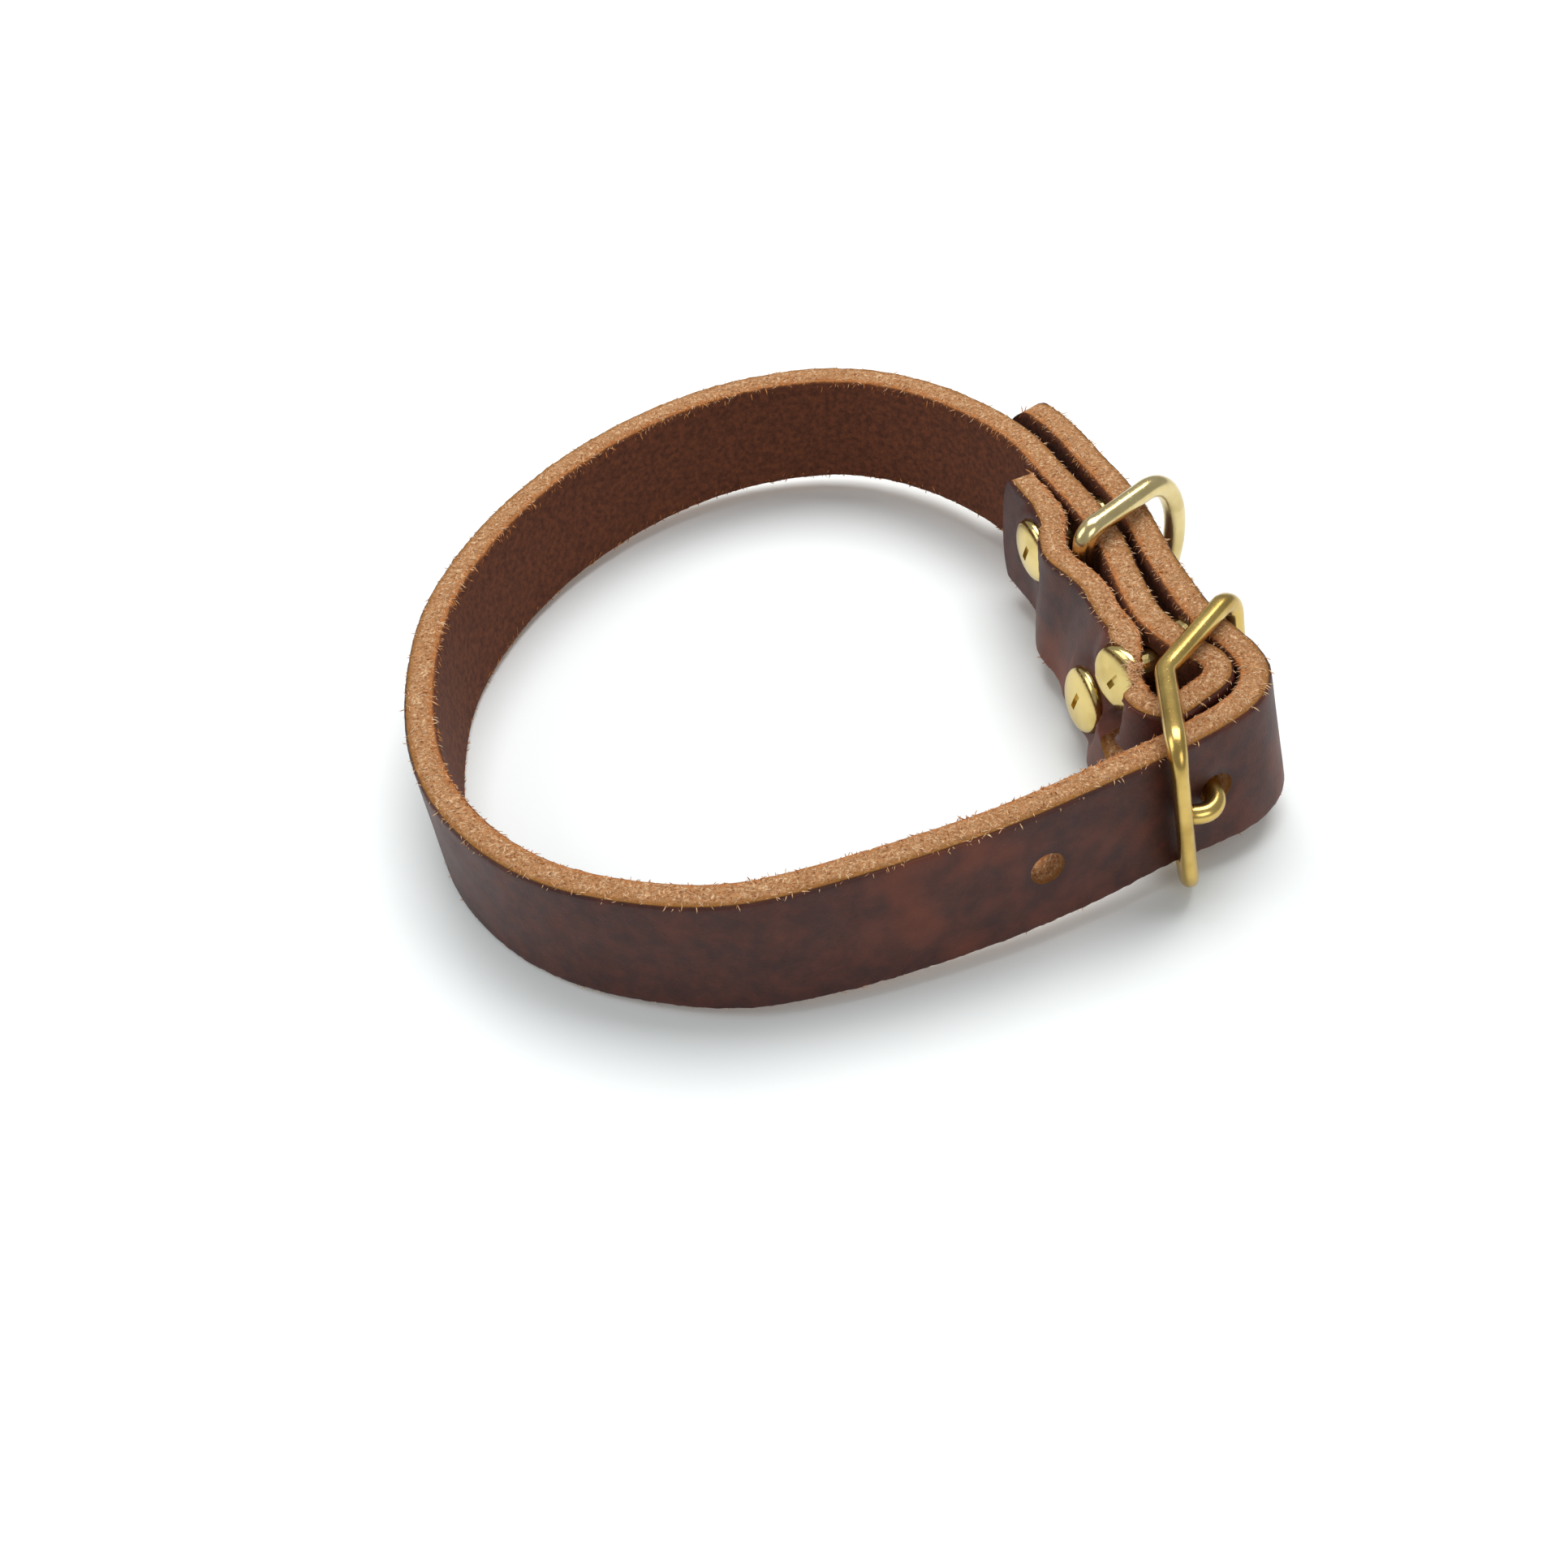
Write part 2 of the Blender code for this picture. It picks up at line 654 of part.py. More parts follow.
def make_screw(number, place, line, look):
    """One post screw: domed head on the inner face, post with its flange outside."""
    past, height = place
    at = screw_frame(line, past, height)
    seat = 1.5 * STRAP_THICK + screw_air(past) + FIT
    back = STRAP_THICK / 2 + FIT
    head = HEAD_DIAMETER / 2
    post = POST_DIAMETER / 2
    bore = post - POST_WALL
    deep = seat - back * 0.2
    shank_end = seat - SHANK_SHARE * (seat + back)
    dome = [(head * math.cos(math.radians(a)),
             seat + HEAD_RIM + (HEAD_HEIGHT - HEAD_RIM) * math.sin(math.radians(a)))
            for a in (0, 18, 36, 54, 72)]
    profile = [(0, shank_end), (bore - FIT, shank_end), (bore - FIT, seat), (head, seat)]
    profile += dome + [(0, seat + HEAD_HEIGHT)]
    screw = new_object("screw_%d" % number, turned(profile, 24), look)
    long, wide, sunk = DRIVE_SLOT
    slot = bmesh.new()
    bmesh.ops.create_cube(slot, size=1.0)
    bmesh.ops.scale(slot, vec=(long, wide, 2 * sunk), verts=slot.verts)
    bmesh.ops.translate(slot, vec=(0, 0, seat + HEAD_HEIGHT), verts=slot.verts)
    slot_tool = new_object("drive_slot_tool_%d" % number, slot, None, cutter=True)
    boolean(screw, slot_tool, "DIFFERENCE")
    barrel = [(0, -back - FLANGE_THICK), (head, -back - FLANGE_THICK), (head, -back),
              (post, -back), (post, deep), (bore, deep), (bore, shank_end - FIT),
              (0, shank_end - FIT)]
    barrel_piece = new_object("post_%d" % number, turned(barrel, 24), look)
    hole = post + FIT
    wide_seat = head + FIT / 2
    cut = [(0, -back - 2 * FLANGE_THICK), (wide_seat, -back - 2 * FLANGE_THICK),
           (wide_seat, FIT * 0.9 - back), (hole, FIT * 0.9 - back),
           (hole, seat - FIT * 0.9), (wide_seat, seat - FIT * 0.9),
           (wide_seat, seat + 2 * HEAD_HEIGHT), (0, seat + 2 * HEAD_HEIGHT)]
    cutter = new_object("screw_punch_%d" % number, turned(cut, 24), None, cutter=True)
    for piece in (screw, slot_tool, barrel_piece, cutter):
        piece.matrix_world = at
    return [screw, barrel_piece], [cutter, slot_tool]


def world_points(piece):
    """Evaluated mesh points of a piece in world space."""
    graph = bpy.context.evaluated_depsgraph_get()
    shape = piece.evaluated_get(graph)
    mesh = shape.to_mesh()
    points = [piece.matrix_world @ vert.co for vert in mesh.vertices]
    shape.to_mesh_clear()
    return points


def resting(strap, frame, ring):
    """Turn that lays the collar on its buckle, its ring and its far side."""
    bpy.context.view_layer.update()
    shapes = [world_points(piece) for piece in (frame, ring, strap)]
    turn = Matrix.Identity(4)
    for _ in range(3):
        places = [[turn @ point for point in shape] for shape in shapes]
        feet = [min(places[i], key=lambda point: point.z) for i in (0, 1)]
        line = feet[1] - feet[0]
        level = Vector((line.x, line.y, 0.0)).normalized()
        roll = line.rotation_difference(level).to_matrix().to_4x4()
        settle = roll @ Matrix.Translation(-feet[0])
        across = level.cross(Vector((0, 0, 1)))
        lean = math.pi
        for point in places[2]:
            place = settle @ point
            away = -place.dot(across)
            if away > LOOP_ACROSS / 4:
                lean = min(lean, math.atan2(place.z, away))
        turn = Matrix.Rotation(-lean, 4, level) @ settle @ turn
    return turn


def main():
    """Builds the collar."""
    clear_scene()
    leather = material("chestnut_leather", LEATHER, 0.5, 0.0)
    brass = material("solid_brass", BRASS, 0.25, 1.0)
    line = Course(middle_rows())
    course = strap_course()
    screws, punches, helpers = [], [], []
    for number, place in enumerate(SCREW_PLACES, start=1):
        pieces, tools = make_screw(number, place, line, brass)
        screws += pieces
        punches.append(tools[0])
        helpers += tools
    strap = make_strap(course, leather, punches)
    frame = make_buckle(brass)
    lean_axis = Vector((*heading_vector(BUCKLE_FOOT_HEADING + 90), 0.0))
    leaned = Matrix.Rotation(math.radians(-BUCKLE_LEAN), 4, lean_axis)
    bar_top = Vector((BAR_AT[0], BAR_AT[1], STRAP_WIDTH - BUCKLE_DROP))
    bar_middle = bar_top + leaned.to_3x3() @ Vector((0, 0, -MID))
    buckle_at = Matrix.Translation(bar_middle) @ leaned
    prong = make_prong(brass, course, buckle_at)
    for piece in (frame, prong):
        piece.matrix_world = buckle_at
    ring = make_ring(brass)
    length = line.nearest(BAR_AT + np.array([0.0, 29.5 * MM]), 0.0, 0.3 * line.length)
    back = -(STRAP_THICK / 2 + FIT + RING_WIRE / 2)
    ring_at = Vector(line.point(length, back, MID))
    ring.matrix_world = (Matrix.Translation(ring_at)
                         @ Matrix.Rotation(math.radians(RING_HEADING), 4, "Z"))
    turn = resting(strap, frame, ring)
    collar = bpy.data.objects.new("collar", None)
    bpy.context.scene.collection.objects.link(collar)
    for piece in bpy.context.scene.collection.objects:
        if piece.parent is None and piece is not collar:
            piece.parent = collar
    collar.matrix_world = turn
    bpy.context.view_layer.update()
    corners = np.array([point for piece in [strap, frame, prong, ring] + screws
                        for point in world_points(piece)])
    low, high = corners.min(axis=0), corners.max(axis=0)
    centre = Vector((-(low[0] + high[0]) / 2, -(low[1] + high[1]) / 2, -low[2]))
    collar.matrix_world = Matrix.Translation(centre) @ turn
    bpy.context.view_layer.update()


main()
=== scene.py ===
"""Looks of a leather dog collar: its strap, its brass buckle, ring and post screws.

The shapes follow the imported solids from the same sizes, at a finer step. The collar is
worked out flat side down, +X towards the buckle and +Y away from its front, and is then
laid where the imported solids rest. Lengths are metres unless a name says millimetres.
"""
import json
import math

import bmesh
import bpy
import numpy as np
from mathutils import Matrix, Vector, noise


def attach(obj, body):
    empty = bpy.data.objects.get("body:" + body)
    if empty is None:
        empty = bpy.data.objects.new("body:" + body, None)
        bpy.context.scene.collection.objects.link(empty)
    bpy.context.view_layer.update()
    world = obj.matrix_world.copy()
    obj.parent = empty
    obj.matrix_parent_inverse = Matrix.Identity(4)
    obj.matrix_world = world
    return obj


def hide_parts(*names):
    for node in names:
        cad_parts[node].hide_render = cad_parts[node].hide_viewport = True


MM = 0.001

# strap leather
STRAP_WIDTH = 19.05 * MM
STRAP_THICK = 4.3 * MM
LAYER_GAP = 0.4 * MM
LOOP_ACROSS = 111.6 * MM
LOOP_DEPTH = 108.0 * MM
FOLD_END_BULGE = 2.6 * MM
TIP_LENGTH = 6.5 * MM
GRAIN_CORNER = 0.55 * MM
FLESH_CORNER = 0.95 * MM
EDGE_CROWN = 0.16 * MM
EDGE_ROUGH = 0.11 * MM
FACE_WAVE = 0.05 * MM
ROUGH_TURNS = 900.0
WAVE_TURNS = 160.0

# holes in the strap
HOLE_DIAMETER = 4.8 * MM
HOLE_SPACING = 25.4 * MM
HOLES = 4
HOLES_FREE_BEFORE = 1
SLOT_WIDTH = 4.6 * MM
SLOT_LENGTH = 20.0 * MM
RIM_SINK = 0.28 * MM
RIM_REACH = 0.8 * MM
PRESS_REACH = 1.5

# buckle
BAR_DIAMETER = 2.6 * MM
SIDE_DIAMETER = 2.8 * MM
END_BAR_WIDTH = 3.5 * MM
END_BAR_THICK = 2.3 * MM
SIDE_CLEARANCE = 1.0 * MM
FRONT_REACH = 16.1 * MM
REAR_REACH = 17.8 * MM
CORNER_RADIUS = 3.4 * MM
BEND_RADIUS = 4.0 * MM
FRONT_HEADING = -98.5
REAR_HEADING = 46.0
BUCKLE_LEAN = 9.0
BUCKLE_FOOT_HEADING = -42.0
BUCKLE_DROP = 0.6 * MM
PRONG_DIAMETER = 2.7 * MM
PRONG_EYE_WALL = 1.2 * MM
PRONG_EYE_HEIGHT = 3.4 * MM
NOTCH_SHARE = 0.56
PRONG_REST_HEIGHT = -0.7 * MM
PRONG_TIP = 1.3 * MM
EYE_BEVEL = 0.3 * MM

# D ring
RING_WIRE = 3.2 * MM
RING_CLEARANCE = 1.0 * MM
RING_ARM = 13.0 * MM
RING_BOW = 8.0 * MM
RING_CORNER = 2.2 * MM
RING_HEADING = 36.5
RING_STATION = 29.5

# post screws
HEAD_DIAMETER = 9.5 * MM
HEAD_HEIGHT = 1.6 * MM
HEAD_RIM = 0.5 * MM
DRIVE_SLOT = (3.0 * MM, 0.9 * MM, 0.6 * MM)
POST_DIAMETER = 4.8 * MM
SHANK_DIAMETER = 2.8 * MM
HEAD_BEVEL = 0.25 * MM

# air between pieces that touch
FIT = 0.3 * MM

# mesh fineness
STEP = 0.55 * MM
STRIP_STEP = 1.2 * MM
SAMPLE = 0.25 * MM
WIRE_SIDES = 28
EYE_SIDES = 40

MID = STRAP_WIDTH / 2
BAR_RADIUS = BAR_DIAMETER / 2
BAR_AT = np.array([0.4165 * LOOP_ACROSS, -0.2565 * LOOP_DEPTH])

# camera, in the collar's own frame: place, pitch down, roll and focal length in pixels
CAMERA_AT = Vector((-5.0 * MM, -188.0 * MM, 176.4 * MM))
CAMERA_PITCH = 46.16
CAMERA_ROLL = -7.71
CAMERA_FOCAL = 2118.0
PHOTO_SIZE = 1932.0
SENSOR = 36.0

# Middle layer beside the buckle bar: millimetres past the bar and to its outer side.
#   past, aside, lean
STACK_ROWS = (
    (5.6, 5.0, -2.0),
    (9.3, 2.7, -6.0),
    (14.0, 0.8, -7.5),
    (19.0, 0.1, -7.5),
    (24.0, -0.2, -4.0),
    (29.5, -0.5, -1.0),
    (35.5, -1.5, 0.0),
    (41.5, -3.1, 0.0),
    (47.5, -5.0, 0.0),
)

# The loop round the neck, from the stack over the back and left side to the front.
#   across and depth as shares of the loop's half sizes, lean
LOOP_ROWS = (
    (0.695, 0.530, 0.0),
    (0.590, 0.715, 0.0),
    (0.410, 0.898, 0.0),
    (0.242, 0.985, 0.0),
    (0.013, 1.006, 0.0),
    (-0.174, 0.968, 0.0),
    (-0.362, 0.881, 0.0),
    (-0.545, 0.746, 0.0),
    (-0.724, 0.546, 0.0),
    (-0.848, 0.335, 0.0),
    (-0.923, 0.128, 0.0),
    (-0.951, -0.116, 0.0),
    (-0.937, -0.359, 0.0),
    (-0.892, -0.528, 0.5),
    (-0.776, -0.726, 1.2),
    (-0.636, -0.857, 1.5),
    (-0.435, -0.954, 2.0),
    (-0.235, -0.996, 3.5),
    (-0.030, -0.974, 5.5),
    (0.183, -0.928, 6.5),
    (0.404, -0.866, 6.5),
    (0.636, -0.778, 6.5),
    (0.798, -0.711, 6.0),
)

# Fold round the bar: direction from the bar, room past the bar, lean.
#   direction, room in millimetres, lean
WRAP_ROWS = (
    (146.0, 1.9, 7.0),
    (190.0, 0.9, 6.0),
    (229.0, 1.25, 7.0),
    (262.0, 1.0, 9.0),
    (300.0, 0.1, 10.0),
    (343.0, 1.2, 10.0),
    (5.0, 3.0, 8.0),
    (24.0, 3.7, 3.0),
)

# Second turn, over the fold.
#   direction, room in millimetres, lean
TURN_ROWS = (
    (-58.0, 0.35, 9.0),
    (-22.5, 1.8, 11.0),
    (3.0, 3.1, 10.5),
    (29.0, 3.5, 5.5),
)

# Folded-back end: station past the bar and air to the middle layer, both millimetres.
#   past, air, lean
FOLD_BACK_ROWS = (
    (52.5, 0.0, 0.0),
    (46.0, 0.1, 0.0),
    (39.5, 0.6, 0.0),
    (34.5, 2.6, 0.0),
    (29.5, 3.4, 1.0),
    (25.2, 1.9, 3.0),
    (21.0, 0.3, 7.0),
    (16.0, 0.0, 7.5),
    (11.5, 0.1, 7.5),
)

# Tongue end: station past the bar and air to the middle layer, both millimetres.
#   past, air, lean
TONGUE_ROWS = (
    (11.5, 1.5, 1.0),
    (17.0, 1.6, -2.0),
    (23.0, 1.0, -1.0),
    (29.0, 0.6, 0.0),
    (36.0, 1.1, 0.0),
    (43.0, 1.5, 0.0),
    (50.0, 1.6, 0.0),
    (56.5, 1.7, 0.0),
    (63.5, 1.9, 0.0),
    (74.0, 2.1, 0.0),
)

# The prong's rod from the bar through its hole and over the strap to the end bar.
#   along the strap from the hole, out from the strap's middle, both millimetres
PRONG_ROWS = (
    (0.9, -4.6),
    (0.7, -2.2),
    (0.1, 0.2),
    (-0.7, 2.4),
    (-1.6, 3.7),
    (-3.3, 4.5),
)

# Post screws: station past the bar and height, both millimetres, and turn of the slot.
SCREW_PLACES = (
    (8.4, 13.9, 62.0),
    (13.7, 5.1, 75.0),
    (40.4, 12.8, 68.0),
)


def heading_vector(degrees):
    """Unit plan vector of a heading, counterclockwise from +X."""
    angle = math.radians(degrees)
    return np.array([math.cos(angle), math.sin(angle)])


def cubic_through(points):
    """Natural cubic through points, sampled every SAMPLE or so along its length."""
    count = len(points)
    gaps = np.linalg.norm(np.diff(points[:, :2], axis=0), axis=1)
    matrix = np.eye(count)
    sides = np.zeros_like(points)
    for i in range(1, count - 1):
        matrix[i, i - 1] = gaps[i - 1]
        matrix[i, i] = 2 * (gaps[i - 1] + gaps[i])
        matrix[i, i + 1] = gaps[i]
        rise = (points[i + 1] - points[i]) / gaps[i]
        fall = (points[i] - points[i - 1]) / gaps[i - 1]
        sides[i] = 6 * (rise - fall)
    bends = np.linalg.solve(matrix, sides)
    pieces = []
    for i in range(count - 1):
        steps = max(2, int(round(gaps[i] / SAMPLE)))
        share = np.linspace(0, 1, steps, endpoint=False)[:, None]
        rest = 1 - share
        line = rest * points[i] + share * points[i + 1]
        sag = (rest ** 3 - rest) * bends[i] + (share ** 3 - share) * bends[i + 1]
        pieces.append(line + sag * gaps[i] ** 2 / 6)
    pieces.append(points[-1:])
    return np.concatenate(pieces)


class Course:
    """The strap's centreline at its top edge: place, heading and lean by length."""

    def __init__(self, rows):
        self.rows = cubic_through(np.array(rows))
        steps = np.linalg.norm(np.diff(self.rows[:, :2], axis=0), axis=1)
        self.length_at = np.concatenate([[0.0], np.cumsum(steps)])
        self.length = self.length_at[-1]
        ahead = np.gradient(self.rows[:, :2], self.length_at, axis=0)
        self.turned = np.unwrap(np.arctan2(ahead[:, 1], ahead[:, 0]))

    def frames(self, lengths):
        """Places, headings, grain side vectors and leans at an array of lengths."""
        inside = np.clip(lengths, 0.0, self.length)
        places = np.stack([np.interp(inside, self.length_at, self.rows[:, i])
                           for i in (0, 1)], axis=-1)
        leans = np.radians(np.interp(inside, self.length_at, self.rows[:, 2]))
        turned = np.interp(inside, self.length_at, self.turned)
        ahead = np.stack([np.cos(turned), np.sin(turned)], axis=-1)
        places = places + ahead * (lengths - inside)[..., None]
        return places, ahead, np.stack([ahead[..., 1], -ahead[..., 0]], axis=-1), leans

    def points(self, lengths, outs, heights):
        """Space points at arrays of lengths, distances to the grain side and heights."""
        places, _, grain, leans = self.frames(np.asarray(lengths, float))
        reach = outs + (STRAP_WIDTH - heights) * np.tan(leans)
        spots = places + grain * reach[..., None]
        return np.concatenate([spots, np.asarray(heights)[..., None]], axis=-1)

    def point(self, length, out, height):
        """One space point."""
        spot = self.points(np.array([length]), np.array([out]), np.array([height]))[0]
        return Vector(spot)

    def nearest(self, place, start, end):
        """Length between start and end whose centreline lies nearest to place."""
        inside = (self.length_at >= start) & (self.length_at <= end)
        away = np.linalg.norm(self.rows[:, :2] - place, axis=1)
        away[~inside] = np.inf
        return self.length_at[int(np.argmin(away))]


def around_bar(direction, layer, room):
    """Centreline place of the strap's first or second layer round the buckle bar."""
    out = BAR_RADIUS + FIT + (layer + 0.5) * STRAP_THICK + layer * LAYER_GAP + room * MM
    return BAR_AT + out * heading_vector(direction)


def middle_rows():
    """Rows of the strap from the stack round the neck to the buckle's front."""
    rows = [(BAR_AT[0] + aside * MM, BAR_AT[1] + past * MM, lean)
            for past, aside, lean in STACK_ROWS]
    return rows + [(across * LOOP_ACROSS / 2, depth * LOOP_DEPTH / 2, lean)
                   for across, depth, lean in LOOP_ROWS]


def station(line, past):
    """Length on the middle layer at a distance past the bar in millimetres."""
    return line.nearest(BAR_AT + np.array([0.0, past * MM]), 0.0, 0.3 * line.length)


def beside(line, past, air, lean, side):
    """Row beside the middle layer, one thickness and some air to the given side."""
    places, _, grain, _ = line.frames(np.array([station(line, past)]))
    spot = places[0] + side * grain[0] * (STRAP_THICK + LAYER_GAP + air * MM)
    return (spot[0], spot[1], lean)


def strap_course(line):
    """The whole strap's centreline, from the folded-back end to the tip."""
    rows = [beside(line, past, air, lean, -1) for past, air, lean in FOLD_BACK_ROWS]
    for direction, room, lean in WRAP_ROWS:
        rows.append((*around_bar(direction, 0, room), lean))
    rows += middle_rows()
    for direction, room, lean in TURN_ROWS:
        rows.append((*around_bar(direction, 1, room), lean))
    rows += [beside(line, past, air, lean, 1) for past, air, lean in TONGUE_ROWS]
    return Course(rows)


LINE = Course(middle_rows())
COURSE = strap_course(LINE)
PRONG_HOLE = COURSE.nearest(around_bar(-73.5, 1, 0.0), 0.6 * COURSE.length, COURSE.length)
FIRST_HOLE = PRONG_HOLE - HOLES_FREE_BEFORE * HOLE_SPACING
SLOT_AT = COURSE.nearest(around_bar(275.0, 0, 0.0), 0, 0.3 * COURSE.length)


def rest_matrix(joint):
    """Placement of the collar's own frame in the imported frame, read from the ring's hinge."""
    axis = Vector(joint["axis"]).normalized()
    turn = Vector((0, 0, 1)).rotation_difference(axis).to_matrix().to_4x4()
    hinge = LINE.point(station(LINE, RING_STATION), ring_seat(), MID)
    return Matrix.Translation(Vector(joint["pos_m"]) - turn @ hinge) @ turn


def ring_seat():
    """Distance of the D ring's bar from the middle layer's line, towards the neck."""
    return -(STRAP_THICK / 2 + FIT + RING_WIRE / 2)


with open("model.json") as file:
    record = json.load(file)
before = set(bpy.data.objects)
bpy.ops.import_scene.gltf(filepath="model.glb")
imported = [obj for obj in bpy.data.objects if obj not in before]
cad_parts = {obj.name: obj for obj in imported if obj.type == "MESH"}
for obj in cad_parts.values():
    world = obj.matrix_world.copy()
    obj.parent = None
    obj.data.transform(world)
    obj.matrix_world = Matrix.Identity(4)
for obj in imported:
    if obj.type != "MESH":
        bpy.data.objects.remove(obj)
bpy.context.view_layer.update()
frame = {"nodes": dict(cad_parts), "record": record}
REST = rest_matrix(frame["record"]["behaviour"]["joints"][0])


class Wire:
    """A shader socket that takes part in arithmetic: each operator adds a Math node."""

    def __init__(self, finish, socket):
        self.finish = finish
        self.socket = socket

    def maths(self, operation, *values):
        """Math node of this operation on the values, this socket among them."""
        made = self.finish.node("ShaderNodeMath", {"operation": operation})
        for spot, value in zip(made.inputs, values):
            self.finish.feed(spot, value)
        return Wire(self.finish, made.outputs[0])

    def __add__(self, other):
        return self.maths("ADD", self, other)

    __radd__ = __add__

    def __sub__(self, other):
        return self.maths("SUBTRACT", self, other)

    def __rsub__(self, other):
        return self.maths("SUBTRACT", other, self)

    def __mul__(self, other):
        return self.maths("MULTIPLY", self, other)

    __rmul__ = __mul__

    def __pow__(self, other):
        return self.maths("POWER", self, other)

    def wrapped(self, low, high):
        """Value wrapped between low and high."""
        return self.maths("WRAP", self, high, low)

    def between(self, low, high):
        """Smooth step from 0 at low to 1 at high."""
        made = self.finish.node("ShaderNodeMapRange", {"interpolation_type": "SMOOTHSTEP"},
                                Value=self, From_Min=low, From_Max=high)
        return Wire(self.finish, made.outputs[0])


class Finish:
    """One material and its node tree."""

    def __init__(self, name, **values):
        self.material = bpy.data.materials.new(name)
        self.material.use_nodes = True
        self.tree = self.material.node_tree
        self.shader = self.tree.nodes["Principled BSDF"]
        for key, value in values.items():
            self.shader.inputs[key.replace("_", " ")].default_value = value

    def feed(self, spot, value):
        """Links or sets one input socket."""
        if isinstance(value, Wire):
            self.tree.links.new(value.socket, spot)
        elif isinstance(value, bpy.types.NodeSocket):
            self.tree.links.new(value, spot)
        elif spot.type == "RGBA":
            spot.default_value = (*value[:3], 1.0)
        else:
            spot.default_value = value

    def node(self, kind, settings=None, **sockets):
        """New node of a kind, its settings first and then its sockets' values or links."""
        made = self.tree.nodes.new(kind)
        for key, value in (settings or {}).items():
            if key == "stops":
                ramp = made.color_ramp.elements
                while len(ramp) < len(value):
                    ramp.new(0.5)
                for stop, (place, color) in zip(ramp, value):
                    stop.position = place
                    stop.color = (*color, 1.0)
            else:
                setattr(made, key, value)
        for key, value in sockets.items():
            name = key.replace("_", " ")
            spot = [one for one in made.inputs if one.enabled and one.name == name][0]
            self.feed(spot, value)
        return made

    def out(self, made, name):
        """Wire from the named output of a node."""
        return Wire(self, [one for one in made.outputs if one.enabled and one.name == name][0])

    def millimetres(self, stretch=(1.0, 1.0, 1.0)):
        """Object coordinates in millimetres."""
        place = self.node("ShaderNodeTexCoord").outputs["Object"]
        made = self.node("ShaderNodeVectorMath", {"operation": "MULTIPLY"})
        self.feed(made.inputs[0], place)
        made.inputs[1].default_value = tuple(share / MM for share in stretch)
        return made.outputs[0]

    def noise(self, place, scale, detail=2.0, rough=0.5, distort=0.0):
        """Noise value with scale in turns for each unit of place."""
        made = self.node("ShaderNodeTexNoise", {"noise_dimensions": "3D"}, Vector=place, Scale=scale,
                         Detail=detail, Roughness=rough, Distortion=distort)
        return self.out(made, "Factor" if "Factor" in made.outputs else "Fac")

    def cells(self, place, scale, feature="F1"):
        """Voronoi distance."""
        made = self.node("ShaderNodeTexVoronoi", {"feature": feature}, Vector=place, Scale=scale)
        return self.out(made, "Distance")

    def mix(self, share, first, second):
        """Colour mixed from first to second by share."""
        made = self.node("ShaderNodeMix", {"data_type": "RGBA"}, Factor=share, A=first, B=second)
        return self.out(made, "Result").socket

    def ramp(self, value, stops):
        """Colour ramp over a value."""
        made = self.node("ShaderNodeValToRGB", {"stops": stops})
        self.feed(made.inputs[0], value)
        return made.outputs["Color"]

    def chart(self, name):
        """The two values of one of the piece's own UV maps."""
        made = self.node("ShaderNodeUVMap", {"uv_map": name})
        parts = self.node("ShaderNodeSeparateXYZ", None, Vector=made.outputs[0])
        return Wire(self, parts.outputs[0]), Wire(self, parts.outputs[1])

    def surface(self, color=None, rough=None, height=None, depth=1.0):
        """Feeds the shader's colour, roughness and relief, in millimetres of height."""
        if color is not None:
            self.feed(self.shader.inputs["Base Color"], color)
        if rough is not None:
            self.feed(self.shader.inputs["Roughness"], rough)
        if height is not None:
            bump = self.node("ShaderNodeBump", None, Strength=1.0, Distance=depth * MM, Height=height)
            self.feed(self.shader.inputs["Normal"], bump.outputs[0])
        return self.material


# leather colours
GRAIN_DARK = (0.036, 0.0075, 0.0048)
GRAIN_BODY = (0.078, 0.0160, 0.0080)
GRAIN_PULL = (0.175, 0.0360, 0.0120)
FLESH_DARK = (0.060, 0.0150, 0.0060)
FLESH_BODY = (0.150, 0.0420, 0.0150)
CUT_PALE = (0.840, 0.580, 0.340)
CUT_BODY = (0.520, 0.240, 0.092)
CUT_DEEP = (0.200, 0.058, 0.016)
CUT_AMBER = (0.330, 0.125, 0.014)
FUZZ_ORANGE = (0.560, 0.180, 0.035)
FUZZ_PALE = (0.800, 0.560, 0.340)


